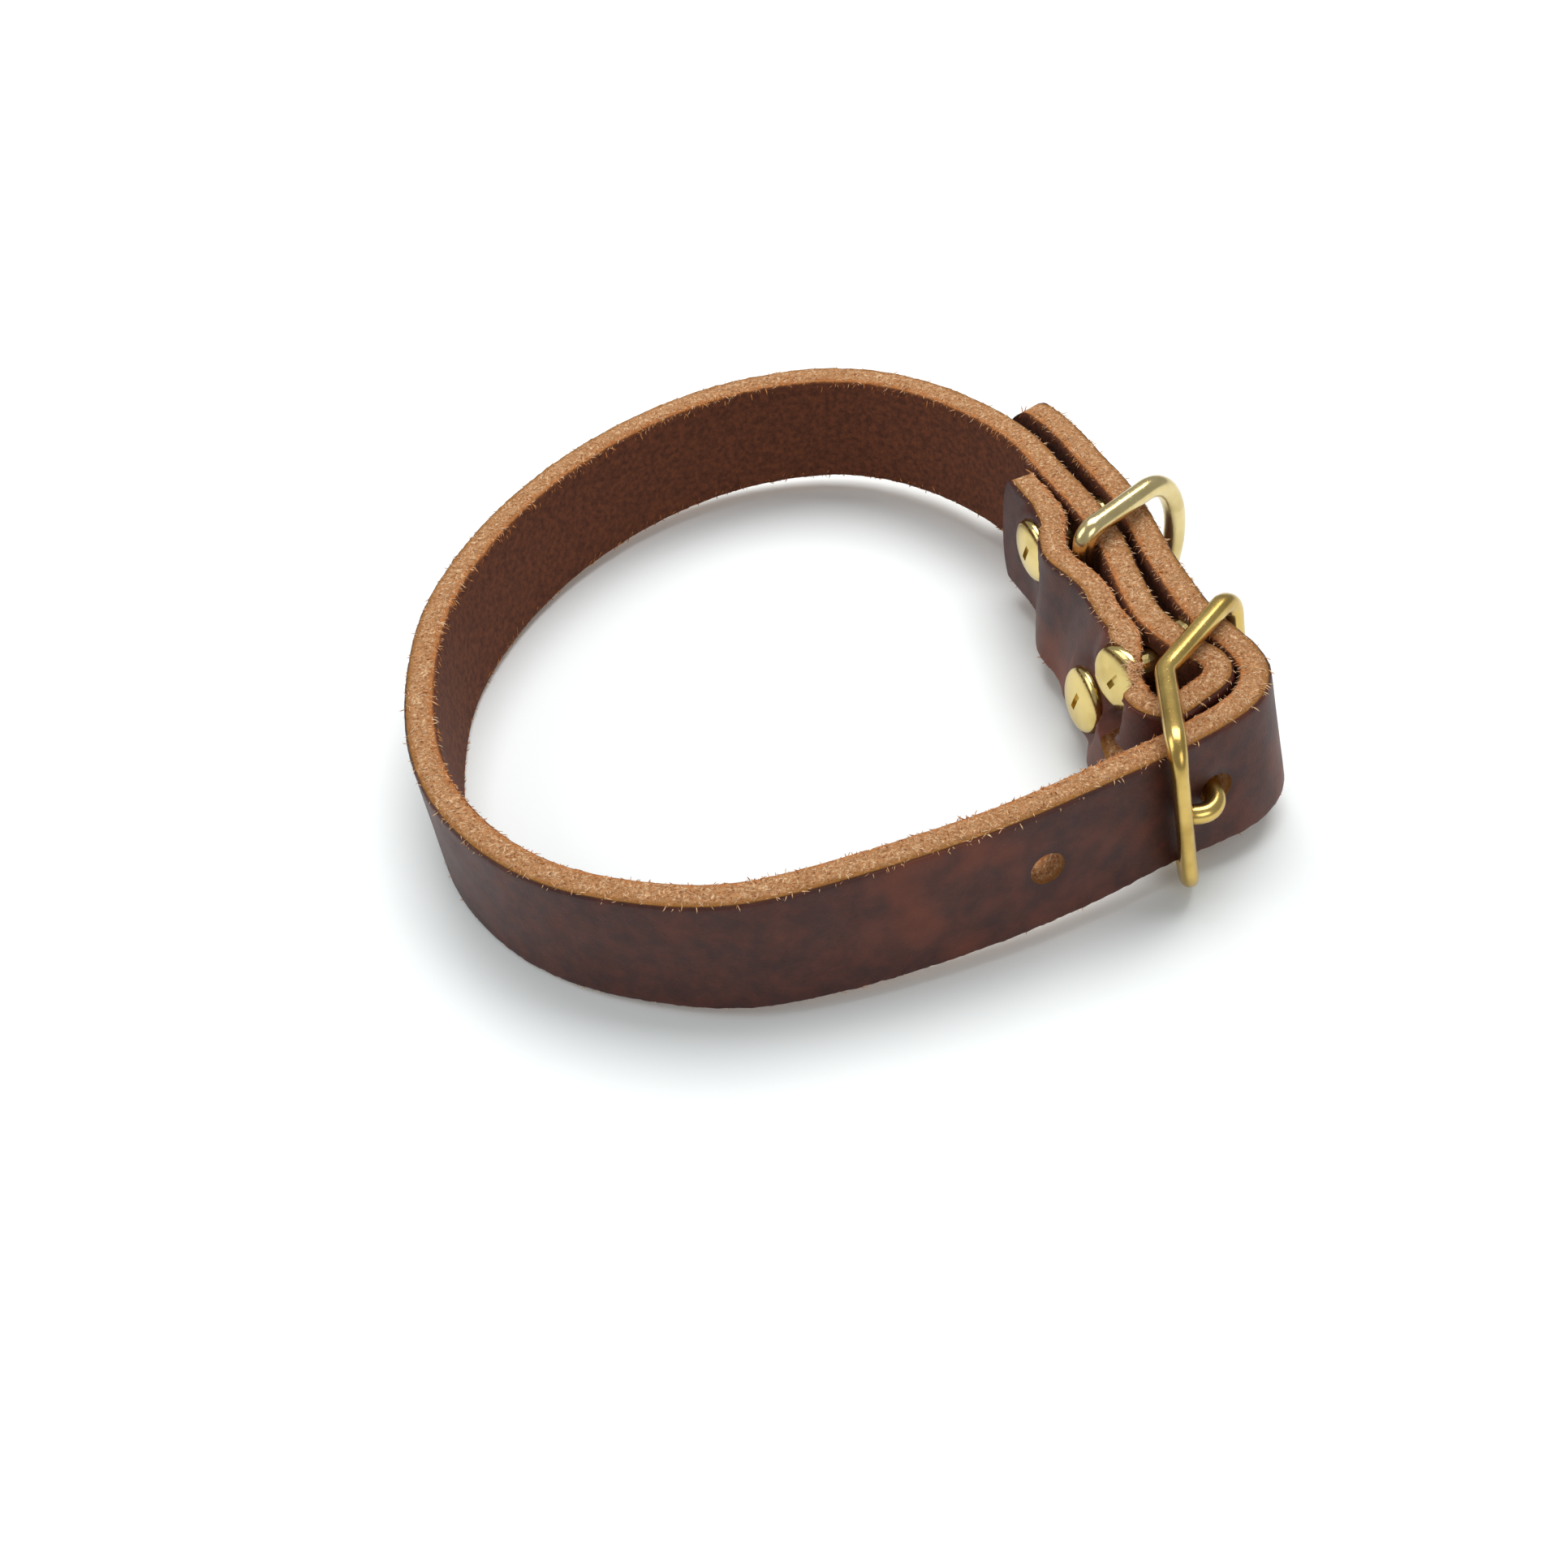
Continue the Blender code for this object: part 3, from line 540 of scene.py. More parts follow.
def leather():
    """Oiled leather: dark satin grain side, matte flesh side and raw cut edges."""
    finish = Finish("chestnut_leather", Specular_IOR_Level=0.32)
    along, height = finish.chart("place")
    depth, wall = finish.chart("depth")
    mm = finish.millimetres()

    patches = finish.noise(mm, 0.045, 3.0, 0.6)
    streaks = finish.noise(mm, 0.35, 4.0, 0.65)
    pebble = finish.cells(mm, 2.6)
    pores = finish.noise(mm, 5.5, 3.0, 0.6)
    fleck = finish.noise(mm, 2.2, 4.0, 0.7)

    tone = finish.mix(streaks.between(0.3, 0.75), GRAIN_DARK, GRAIN_BODY)
    grain = finish.mix((patches.between(0.48, 0.75) * 0.75), tone, GRAIN_PULL)
    nap = finish.noise(mm, 1.1, 5.0, 0.7)
    flesh = finish.mix(nap.between(0.3, 0.7), FLESH_DARK, FLESH_BODY)

    fibre = finish.noise(mm, 1.15, 5.0, 0.8, 1.8)
    cut = finish.ramp(fibre + (fleck - 0.5) * 0.8,
                      ((0.32, CUT_DEEP), (0.44, CUT_BODY), (0.54, CUT_BODY), (0.66, CUT_PALE)))
    wander = (fleck - 0.5) * 0.9
    amber = (depth + wander).between(0.9, 1.7)
    cut = finish.mix(amber * 0.8, cut, CUT_AMBER)
    scorch = (depth + wander * 1.5).between(-0.9, -1.9)
    cut = finish.mix(scorch * 0.8, cut, FUZZ_ORANGE)

    edge_wander = (fleck - 0.5) * 0.35
    on_grain = (depth + edge_wander * 0.6).between(1.72, 1.95) * (1 - wall)
    on_flesh = (depth * -1.0 + edge_wander).between(1.70, 2.02) * (1 - wall)

    hole_away = (along - FIRST_HOLE / MM).wrapped(-HOLE_SPACING / MM / 2, HOLE_SPACING / MM / 2)
    in_row = (along - (FIRST_HOLE / MM - 8.0)).between(0.0, 0.5)
    in_row = in_row * (1 - (along - (FIRST_HOLE + (HOLES - 0.6) * HOLE_SPACING) / MM).between(0.0, 0.5))
    rise = height - MID / MM
    ring = (hole_away * hole_away + rise * rise) ** 0.5
    burnish = (1 - (ring - HOLE_DIAMETER / MM / 2).between(0.3, 1.5)) * in_row
    grain = finish.mix(burnish * 0.75, grain, GRAIN_DARK)

    color = finish.mix(on_flesh, cut, flesh)
    color = finish.mix(on_grain, color, grain)

    scuff = finish.noise(mm, 0.22, 3.0, 0.6)
    grain_rough = 0.40 + scuff * 0.20 + (pores - 0.5) * 0.10
    rough = on_grain * grain_rough + (1 - on_grain) * 0.88
    relief = (on_grain * ((pebble * 0.020) + pores * 0.012)
              + on_flesh * (nap * 0.10)
              + (1 - on_grain) * (1 - on_flesh) * (fibre * 0.45 + fleck * 0.18))
    return finish.surface(color, rough, relief)


def fibre_finish(name, pale, deep, rough=0.8):
    """Loose fibres, in tones that change from tuft to tuft."""
    finish = Finish(name, Specular_IOR_Level=0.3)
    mm = finish.millimetres()
    tuft = finish.noise(mm, 1.3, 3.0, 0.7)
    return finish.surface(finish.mix(tuft.between(0.32, 0.68), deep, pale), rough)


def brass(name, bright, dull, rough, wear):
    """Polished brass with a little patina and fine polishing marks."""
    finish = Finish(name, Metallic=1.0)
    mm = finish.millimetres()
    clouds = finish.noise(mm, 0.16, 3.0, 0.6)
    marks = finish.noise(finish.millimetres((1.0, 1.0, 0.15)), 2.4, 3.0, 0.6)
    pits = finish.noise(mm, 3.5, 2.0, 0.5)
    color = finish.mix(clouds.between(0.35, 0.75) * wear, bright, dull)
    smooth = rough + clouds * 0.10 + (marks - 0.5) * 0.08
    relief = (marks * 0.010 + pits.between(0.62, 0.8) * 0.012 + clouds * 0.05)
    return finish.surface(color, smooth, relief)


def new_piece(name, vertices, faces, material, loop_maps=None):
    """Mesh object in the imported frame, from points in the collar's own frame."""
    mesh = bpy.data.meshes.new(name)
    mesh.from_pydata([tuple(spot) for spot in vertices], [], [list(face) for face in faces])
    for key, values in (loop_maps or {}).items():
        layer = mesh.uv_layers.new(name=key)
        chart = np.asarray(values, dtype=np.float32)
        index = np.empty(len(mesh.loops), dtype=np.int32)
        mesh.loops.foreach_get("vertex_index", index)
        layer.data.foreach_set("uv", chart[index].ravel())
    if material is not None:
        mesh.materials.append(material)
    mesh.transform(REST)
    made = bpy.data.objects.new(name, mesh)
    bpy.context.scene.collection.objects.link(made)
    return made


def smooth_faces(piece, degrees):
    """Smooth shading with sharp edges over an angle."""
    piece.data.shade_smooth()
    piece.data.set_sharp_from_angle(angle=math.radians(degrees))


def outward(piece):
    """Turns a closed mesh's faces outwards."""
    builder = bmesh.new()
    builder.from_mesh(piece.data)
    bmesh.ops.recalc_face_normals(builder, faces=builder.faces)
    builder.to_mesh(piece.data)
    builder.free()


def cut_away(piece, cutter, operation="DIFFERENCE"):
    """Cuts or joins one mesh with another and leaves one plain mesh."""
    step = piece.modifiers.new("cut", "BOOLEAN")
    step.operation = operation
    step.solver = "MANIFOLD"
    step.object = cutter
    graph = bpy.context.evaluated_depsgraph_get()
    made = bpy.data.meshes.new_from_object(piece.evaluated_get(graph), depsgraph=graph)
    piece.modifiers.remove(step)
    piece.data = made
    bpy.data.objects.remove(cutter, do_unlink=True)


def arc(centre, radius, start, end, count):
    """Points on an arc, the first left out."""
    return [(centre[0] + radius * math.cos(math.radians(angle)),
             centre[1] + radius * math.sin(math.radians(angle)))
            for angle in np.linspace(start, end, count + 1)[1:]]


def strap_section():
    """Points round the strap's section, from the grain side's foot: out and height."""
    half_thick, half_wide = STRAP_THICK / 2, STRAP_WIDTH / 2
    grain = [(half_thick, height)
             for height in np.linspace(GRAIN_CORNER - half_wide, half_wide - GRAIN_CORNER, 26)]
    top = arc((half_thick - GRAIN_CORNER, half_wide - GRAIN_CORNER), GRAIN_CORNER, 0, 90, 4)
    left, right = FLESH_CORNER - half_thick, half_thick - GRAIN_CORNER
    for share in np.linspace(0, 1, 8)[1:]:
        crown = EDGE_CROWN * 4 * share * (1 - share)
        top.append((right + (left - right) * share, half_wide + crown))
    top += arc((left, half_wide - FLESH_CORNER), FLESH_CORNER, 90, 180, 4)
    flesh = [(-half_thick, height)
             for height in np.linspace(half_wide - FLESH_CORNER, FLESH_CORNER - half_wide, 26)]
    foot = [(out, -height) for out, height in top[::-1]]
    return np.array(grain + top + flesh[1:] + foot[1:]), len(grain), len(top)


def end_inset(row, depth):
    """How far a strap's end falls back at a width row: a rounded, pointed outline."""
    return depth * (1 - np.sqrt(np.maximum(0.0, 1 - np.abs(row) ** 2.2)))


def hole_lengths():
    """Lengths along the strap of the punched holes' centres."""
    return [FIRST_HOLE + i * HOLE_SPACING for i in range(HOLES)]


def strap_points(lengths, outs, heights):
    """Points of the strap's surface with the leather's own unevenness.

    heights count from the strap's middle. Cut edges are rough, the faces are a little
    wavy, and the grain side sinks round each punched hole.
    """
    near_edge = np.clip((np.abs(heights) - (MID - FLESH_CORNER)) / FLESH_CORNER, 0, 1.4)
    ragged = np.clip(-outs / (STRAP_THICK / 2), 0, 1)
    flat = COURSE.points(lengths, outs, heights + MID)
    rough = np.array([noise.fractal(Vector(spot) * ROUGH_TURNS, 1.0, 2.0, 3) for spot in flat])
    wave = np.array([noise.noise(Vector(spot) * WAVE_TURNS) for spot in flat])
    heights = heights + np.sign(heights) * near_edge * rough * EDGE_ROUGH * (1 + 1.2 * ragged)
    outs = outs + FACE_WAVE * wave * (1 - near_edge * 0.5)
    outs = outs + rough * near_edge * EDGE_ROUGH * 0.8
    for centre in hole_lengths():
        away = np.hypot(lengths - centre, heights) - HOLE_DIAMETER / 2
        sink = RIM_SINK * np.exp(-np.clip(away, 0, None) / RIM_REACH) * (away < 6 * RIM_REACH)
        outs = outs - sink * (outs > 0)
    return pressed(COURSE.points(lengths, outs, heights + MID), (outs > 0) & (lengths < SLOT_AT))


def pressed(spots, inner_face):
    """Points with the fold's inner face pressed flat under each screw head."""
    for past, height, _ in SCREW_PLACES:
        at = screw_frame(past, height * MM)
        turn = np.array(at.to_3x3())
        local = (spots - np.array(at.translation)) @ turn
        seat = 1.5 * STRAP_THICK + screw_air(past) + FIT * 0.8
        away = np.hypot(local[:, 0], local[:, 1]) / (HEAD_DIAMETER / 2)
        share = np.clip((PRESS_REACH - away) / (PRESS_REACH - 1.08), 0, 1)
        share = share * share * (3 - 2 * share) * inner_face
        spots = spots + ((seat - local[:, 2]) * share)[:, None] * turn[:, 2][None, :]
    return spots


def strap_grid(section, step):
    """Lengths, distances and heights of section points at stations along the strap."""
    stations = np.linspace(0, COURSE.length, int(COURSE.length / step))
    zone = 1.5 * TIP_LENGTH
    rows = np.clip(section[:, 1] / MID, -1, 1)
    near_start = np.clip(1 - stations / zone, 0, None)[:, None]
    near_end = np.clip(1 - (COURSE.length - stations) / zone, 0, None)[:, None]
    lengths = (stations[:, None] + near_start * end_inset(rows, FOLD_END_BULGE)[None, :]
               - near_end * end_inset(rows, TIP_LENGTH)[None, :])
    outs = np.broadcast_to(section[:, 0], lengths.shape)
    heights = np.broadcast_to(section[:, 1], lengths.shape)
    return lengths.ravel(), outs.ravel(), heights.ravel()


def make_strap(material):
    """The strap, with its punched holes, and the map of each point on it."""
    section, grain_count, top_count = strap_section()
    count = len(section)
    lengths, outs, heights = strap_grid(section, STEP)
    vertices = strap_points(lengths, outs, heights)
    place = np.stack([lengths / MM, (heights + MID) / MM], axis=1)
    depth = np.stack([outs / MM, np.zeros(outs.size)], axis=1)
    rings = len(vertices) // count
    faces = []
    for i in range(rings - 1):
        for j in range(count):
            k = (j + 1) % count
            faces.append((i * count + j, (i + 1) * count + j, (i + 1) * count + k, i * count + k))
    flesh_start = grain_count + top_count - 1
    for start in (0, (rings - 1) * count):
        for j in range(grain_count - 1):
            faces.append([start + j, start + j + 1,
                          start + flesh_start + grain_count - 2 - j,
                          start + flesh_start + grain_count - 1 - j])
        top = [start + j for j in range(grain_count - 1, flesh_start + 1)]
        foot = [start + j % count for j in range(flesh_start + grain_count - 1, count + 1)]
        faces += [top, foot]
    strap = new_piece("strap_leather", vertices, faces, material, {"place": place, "depth": depth})
    outward(strap)
    cutter = strap_cutter(material)
    cut_away(strap, cutter)
    smooth_faces(strap, 50)
    return strap


def strap_cutter(material):
    """Every hole of the strap as one cutter, with its walls marked as walls."""
    vertices, faces, place, depth = [], [], [], []
    half = STRAP_THICK / 2 + LAYER_GAP * 0.4

    def add(centre, length, width):
        radius = width / 2
        start, end = centre - length / 2, centre + length / 2
        falls = radius * (1 - np.cos(np.radians(np.linspace(0, 90, 10)[:-1])))
        middle = np.linspace(start + radius, end - radius, max(1, int((length - width) / MM) + 1))
        lengths = np.concatenate([start + falls, middle, (end - falls)[::-1]])
        strips = []
        for at in lengths:
            past = max(0.0, start + radius - at, at - end + radius)
            reach = math.sqrt(max(0.0, radius ** 2 - past ** 2))
            spots = (MID - reach, MID + reach) if reach > 1e-7 else (MID,)
            strip = []
            for side in (-half, -half / 3, half / 3, half):
                strip.append([len(vertices) + i for i in range(len(spots))])
                for spot in spots:
                    vertices.append(COURSE.point(at, side, spot))
                    place.append((at / MM, spot / MM))
                    depth.append((side / MM, 1.0))
            strips.append(strip)
        for one, two in zip(strips, strips[1:]):
            for side in (0, 3):
                faces.append(one[side] + two[side][::-1])
            for side in range(3):
                for row in (0, -1):
                    faces.append((one[side][row], one[side + 1][row],
                                  two[side + 1][row], two[side][row]))

    add(SLOT_AT, SLOT_LENGTH, SLOT_WIDTH)
    for centre in hole_lengths():
        add(centre, HOLE_DIAMETER, HOLE_DIAMETER)
    for past, height, _ in SCREW_PLACES:
        at = screw_frame(past, height * MM)
        seat = 1.5 * STRAP_THICK + screw_air(past) + FIT
        back = STRAP_THICK / 2 + FIT
        hole = POST_DIAMETER / 2 + FIT
        wide = HEAD_DIAMETER / 2 + FIT / 2
        outline = [(0, -back - 2 * MM), (wide, -back - 2 * MM), (wide, FIT * 0.9 - back),
                   (hole, FIT * 0.9 - back), (hole, seat - FIT * 0.9), (wide, seat - FIT * 0.9),
                   (wide, seat + 3 * MM), (0, seat + 3 * MM)]
        spots, rings = turned(outline, 48)
        first = len(vertices)
        vertices += [at @ spot for spot in spots]
        faces += [[first + index for index in ring] for ring in rings]
        place += [(0.0, height)] * len(spots)
        depth += [(0.0, 1.0)] * len(spots)
    cutter = new_piece("strap_holes", vertices, faces, material, {"place": place, "depth": depth})
    outward(cutter)
    return cutter


def screw_frame(past, height):
    """Matrix of a post screw: Z towards the neck, origin on the middle layer's line."""
    length = station(LINE, past)
    _, _, grain, leans = LINE.frames(np.array([length]))
    grain, lean = grain[0], leans[0]
    inward = Vector((-grain[0] * math.cos(lean), -grain[1] * math.cos(lean), -math.sin(lean)))
    turn = inward.to_track_quat("Z", "Y").to_matrix().to_4x4()
    return Matrix.Translation(LINE.point(length, 0.0, height)) @ turn


def screw_air(past):
    """Air between the folded-back end and the middle layer at a station."""
    pasts = [row[0] for row in FOLD_BACK_ROWS][::-1]
    airs = [row[1] for row in FOLD_BACK_ROWS][::-1]
    return LAYER_GAP + np.interp(past, pasts, airs) * MM


def tube(centres, outs, rises, closed, sides=WIRE_SIDES, square=1.0):
    """Vertices and faces of a tube with an ellipse, or a squarer section, at each centre."""
    vertices, faces = [], []
    for centre, out, rise in zip(centres, outs, rises):
        for i in range(sides):
            side, up = heading_vector(360 * (i + 0.5) / sides)
            side = math.copysign(abs(side) ** square, side)
            up = math.copysign(abs(up) ** square, up)
            vertices.append(Vector(centre) + Vector(out) * side + Vector(rise) * up)
    rings = len(centres)
    for i in range(rings if closed else rings - 1):
        one, two = i * sides, (i + 1) % rings * sides
        for j in range(sides):
            k = (j + 1) % sides
            faces.append((one + j, one + k, two + k, two + j))
    if not closed:
        faces.append([j for j in range(sides)][::-1])
        faces.append([(rings - 1) * sides + j for j in range(sides)])
    return vertices, faces


def turned(profile, sides):
    """Vertices and faces of a solid of revolution about Z."""
    vertices, faces, rings = [], [], []
    for radius, height in profile:
        if radius == 0:
            rings.append([len(vertices)])
            vertices.append(Vector((0, 0, height)))
            continue
        rings.append([len(vertices) + i for i in range(sides)])
        for i in range(sides):
            spot = radius * heading_vector(360 * i / sides)
            vertices.append(Vector((spot[0], spot[1], height)))
    for one, two in zip(rings, rings[1:]):
        for i in range(sides):
            corners = [one[i % len(one)], one[(i + 1) % len(one)]]
            corners += [two[(i + 1) % len(two)], two[i % len(two)]]
            faces.append(list(dict.fromkeys(corners)))
    return vertices, faces


def frame_point(run, height):
    """Buckle frame centreline: place in the bent frame, its face normal and heading."""
    turn = math.radians(REAR_HEADING - (FRONT_HEADING + 180))
    half = BEND_RADIUS * abs(turn) / 2
    middle = math.radians((REAR_HEADING + FRONT_HEADING + 180) / 2)
    steps = np.linspace(0, run, 41)
    bend = middle - turn / 2 * np.clip(steps / half, -1, 1)
    heading = -np.stack([np.cos(bend), np.sin(bend)], axis=1)
    place = np.sum((heading[1:] + heading[:-1]) / 2, axis=0) * (run / 40)
    ahead = heading[-1]
    return Vector((*place, height)), Vector((ahead[1], -ahead[0], 0.0)), Vector((*ahead, 0.0))


def buckle_matrix():
    """Placement of the buckle about its centre bar."""
    lean_axis = Vector((*heading_vector(BUCKLE_FOOT_HEADING + 90), 0.0))
    leaned = Matrix.Rotation(math.radians(-BUCKLE_LEAN), 4, lean_axis)
    bar_top = Vector((BAR_AT[0], BAR_AT[1], STRAP_WIDTH - BUCKLE_DROP))
    return Matrix.Translation(bar_top + leaned.to_3x3() @ Vector((0, 0, -MID))) @ leaned


def buckle_outline():
    """Stations round the frame: run, height, turn and how flat the section is."""
    half = MID + SIDE_CLEARANCE + SIDE_DIAMETER / 2
    straight = half - CORNER_RADIUS
    outline = [(FRONT_REACH, share * straight, 0.0, 1.0) for share in np.linspace(-1, 1, 25)]
    for angle in np.linspace(6, 90, 15):
        outline.append((FRONT_REACH - CORNER_RADIUS * (1 - math.cos(math.radians(angle))),
                        straight + CORNER_RADIUS * math.sin(math.radians(angle)), angle,
                        1 - angle / 90))
    for run in np.linspace(FRONT_REACH - CORNER_RADIUS, CORNER_RADIUS - REAR_REACH, 61)[1:-1]:
        outline.append((run, half, 90.0, 0.0))
    for angle in np.linspace(90, 174, 15):
        outline.append((-REAR_REACH + CORNER_RADIUS * (1 + math.cos(math.radians(angle))),
                        straight + CORNER_RADIUS * math.sin(math.radians(angle)), angle, 0.0))
    outline += [(-REAR_REACH, share * straight, 180.0, 0.0) for share in np.linspace(1, 0, 12)]
    return outline + [(run, -height, -angle, flat) for run, height, angle, flat in outline[::-1]
                      if height > 0 and not (run == FRONT_REACH and angle == 0.0)]


def make_buckle(material):
    """The buckle's frame: cast wire, flatter along the front, with its centre bar."""
    centres, outs, rises = [], [], []
    for run, height, angle, flat in buckle_outline():
        centre, face, ahead = frame_point(run, height)
        out = ahead * math.cos(math.radians(angle)) + Vector((0, 0, math.sin(math.radians(angle))))
        centres.append(centre)
        outs.append(out * (SIDE_DIAMETER + (END_BAR_WIDTH - SIDE_DIAMETER) * flat) / 2)
        rises.append(face * (SIDE_DIAMETER + (END_BAR_THICK - SIDE_DIAMETER) * flat) / 2)
    vertices, faces = tube(centres, outs, rises, True, square=0.86)
    at = buckle_matrix()
    buckle = new_piece("buckle_frame_brass", [at @ spot for spot in vertices], faces, material)
    outward(buckle)
    half = MID + SIDE_CLEARANCE + SIDE_DIAMETER / 2 + 0.2 * MM
    bar = [(0, -half), (BAR_RADIUS, -half), (BAR_RADIUS, half), (0, half)]
    vertices, faces = turned(bar, WIRE_SIDES)
    centre_bar = new_piece("centre_bar", [at @ spot for spot in vertices], faces, material)
    outward(centre_bar)
    cut_away(buckle, centre_bar, "UNION")
    centre, _, ahead = frame_point(FRONT_REACH, PRONG_REST_HEIGHT)
    inner = centre - ahead * END_BAR_WIDTH * NOTCH_SHARE
    face = Vector((-ahead[1], ahead[0], 0.0))
    notch_at = Matrix.Translation(inner) @ face.to_track_quat("Z", "Y").to_matrix().to_4x4()
    wide = PRONG_DIAMETER * 0.62
    vertices, faces = turned([(0, -3 * MM), (wide, -3 * MM), (wide, 3 * MM), (0, 3 * MM)], 32)
    notch = new_piece("notch", [at @ notch_at @ spot for spot in vertices], faces, material)
    outward(notch)
    cut_away(buckle, notch)
    smooth_faces(buckle, 40)
    return buckle


def prong_path(at):
    """Points of the prong's rod, in the buckle's frame, from the bar to the end bar."""
    tip, _, ahead = frame_point(FRONT_REACH, PRONG_REST_HEIGHT)
    tip -= ahead * END_BAR_WIDTH * NOTCH_SHARE
    points = [Vector((0.0, 0.0, 0.0))]
    for along, out in PRONG_ROWS:
        points.append(at.inverted() @ COURSE.point(PRONG_HOLE + along * MM, out * MM, MID))
    return cubic_through(np.array([tuple(spot) for spot in points] + [tuple(tip)]))


def make_prong(material):
    """The prong: an eye round the centre bar and a rod with a rounded tip."""
    at = buckle_matrix()
    path = prong_path(at)
    start = np.nonzero(np.linalg.norm(path, axis=1) > BAR_RADIUS + FIT)[0][0]
    picks = np.linspace(start, len(path) - 1, 60).astype(int)
    centres, outs, rises = [], [], []
    for pick in dict.fromkeys(picks):
        near = Vector(path[max(0, pick - 2)])
        far = Vector(path[min(len(path) - 1, pick + 2)])
        out = (far - near).cross(Vector((0, 0, 1))).normalized()
        rise = out.cross(far - near).normalized()
        left = (Vector(path[-1]) - Vector(path[pick])).length
        size = PRONG_DIAMETER / 2
        if left < PRONG_TIP:
            size *= math.sqrt(max(0.08, 1 - (1 - left / PRONG_TIP) ** 2))
        centres.append(path[pick])
        outs.append(out * size)
        rises.append(rise * size)
    vertices, faces = tube(centres, outs, rises, False)
    prong = new_piece("buckle_prong_brass", [at @ spot for spot in vertices], faces, material)
    outward(prong)
    hole = BAR_RADIUS + FIT
    half = PRONG_EYE_HEIGHT / 2
    outer = hole + PRONG_EYE_WALL
    eye = [(hole, -half), (outer - EYE_BEVEL, -half), (outer, EYE_BEVEL - half),
           (outer, half - EYE_BEVEL), (outer - EYE_BEVEL, half), (hole, half)]
    vertices, faces = turned(eye, EYE_SIDES)
    last = (len(eye) - 1) * EYE_SIDES
    for i in range(EYE_SIDES):
        j = (i + 1) % EYE_SIDES
        faces.append((last + i, last + j, j, i))
    loop = new_piece("prong_eye", [at @ spot for spot in vertices], faces, material)
    outward(loop)
    cut_away(prong, loop, "UNION")
    smooth_faces(prong, 40)
    return prong


def make_ring(material):
    """The D ring: cast wire of even round section."""
    half = MID + RING_CLEARANCE + RING_WIRE / 2
    outline = [(0.0, share * (half - RING_CORNER)) for share in np.linspace(-1, 1, 25)]
    for angle in np.linspace(170, 90, 9):
        outline.append((RING_CORNER * (1 + math.cos(math.radians(angle))),
                        half - RING_CORNER * (1 - math.sin(math.radians(angle)))))
    outline += [(run, half) for run in np.linspace(RING_CORNER, RING_ARM, 14)[1:]]
    for angle in np.linspace(86, 0, 24):
        outline.append((RING_ARM + RING_BOW * math.cos(math.radians(angle)),
                        half * math.sin(math.radians(angle))))
    outline += [(run, -height) for run, height in outline[::-1] if height > 1e-9 and run > 0]
    hinge = LINE.point(station(LINE, RING_STATION), ring_seat(), MID)
    at = Matrix.Translation(hinge) @ Matrix.Rotation(math.radians(RING_HEADING), 4, "Z")
    centres, outs, rises = [], [], []
    for i, (run, height) in enumerate(outline):
        before, after = outline[i - 1], outline[(i + 1) % len(outline)]
        along = Vector((after[0] - before[0], 0.0, after[1] - before[1])).normalized()
        centres.append((run, 0.0, height))
        outs.append(Vector((0, 1, 0)).cross(along) * RING_WIRE / 2)
        rises.append(Vector((0.0, RING_WIRE / 2, 0.0)))
    vertices, faces = tube(centres, outs, rises, True)
    ring = new_piece("d_ring_brass", [at @ spot for spot in vertices], faces, material)
    outward(ring)
    smooth_faces(ring, 60)
    return ring


def make_screw(number, place, material):
    """One screw: domed head with a rounded rim and a short drive slot, and its shank."""
    past, height, turn = place
    at = screw_frame(past, height * MM)
    seat = 1.5 * STRAP_THICK + screw_air(past) + FIT
    low = seat - FIT * 0.8
    head = HEAD_DIAMETER / 2
    shank = SHANK_DIAMETER / 2
    rim = [(head - HEAD_BEVEL, low), (head, low + HEAD_BEVEL), (head, seat + HEAD_RIM - 0.1 * MM)]
    dome = [((head - 0.05 * MM) * math.cos(math.radians(angle)),
             seat + HEAD_RIM + (HEAD_HEIGHT - HEAD_RIM) * math.sin(math.radians(angle)))
            for angle in np.linspace(4, 86, 20)]
    profile = [(0, seat - 5 * MM), (shank, seat - 5 * MM), (shank, low)] + rim + dome
    profile += [(0, seat + HEAD_HEIGHT)]
    vertices, faces = turned(profile, 64)
    name = "screw_%d_brass" % number
    screw = new_piece(name, [at @ spot for spot in vertices], faces, material)
    outward(screw)
    long, wide, sunk = DRIVE_SLOT
    spin = Matrix.Rotation(math.radians(turn), 4, "Z")
    corners = [(x, y, z) for z in (-sunk, sunk) for x, y in
               ((-long / 2, -wide / 2), (long / 2, -wide / 2), (long / 2, wide / 2), (-long / 2, wide / 2))]
    top = Matrix.Translation((0, 0, seat + HEAD_HEIGHT))
    vertices = [at @ spin @ top @ Vector(corner) for corner in corners]
    faces = [(0, 1, 2, 3), (4, 5, 6, 7), (0, 1, 5, 4), (1, 2, 6, 5), (2, 3, 7, 6), (3, 0, 4, 7)]
    slot = new_piece("drive_slot", vertices, faces, material)
    outward(slot)
    cut_away(screw, slot)
    smooth_faces(screw, 35)
    return screw


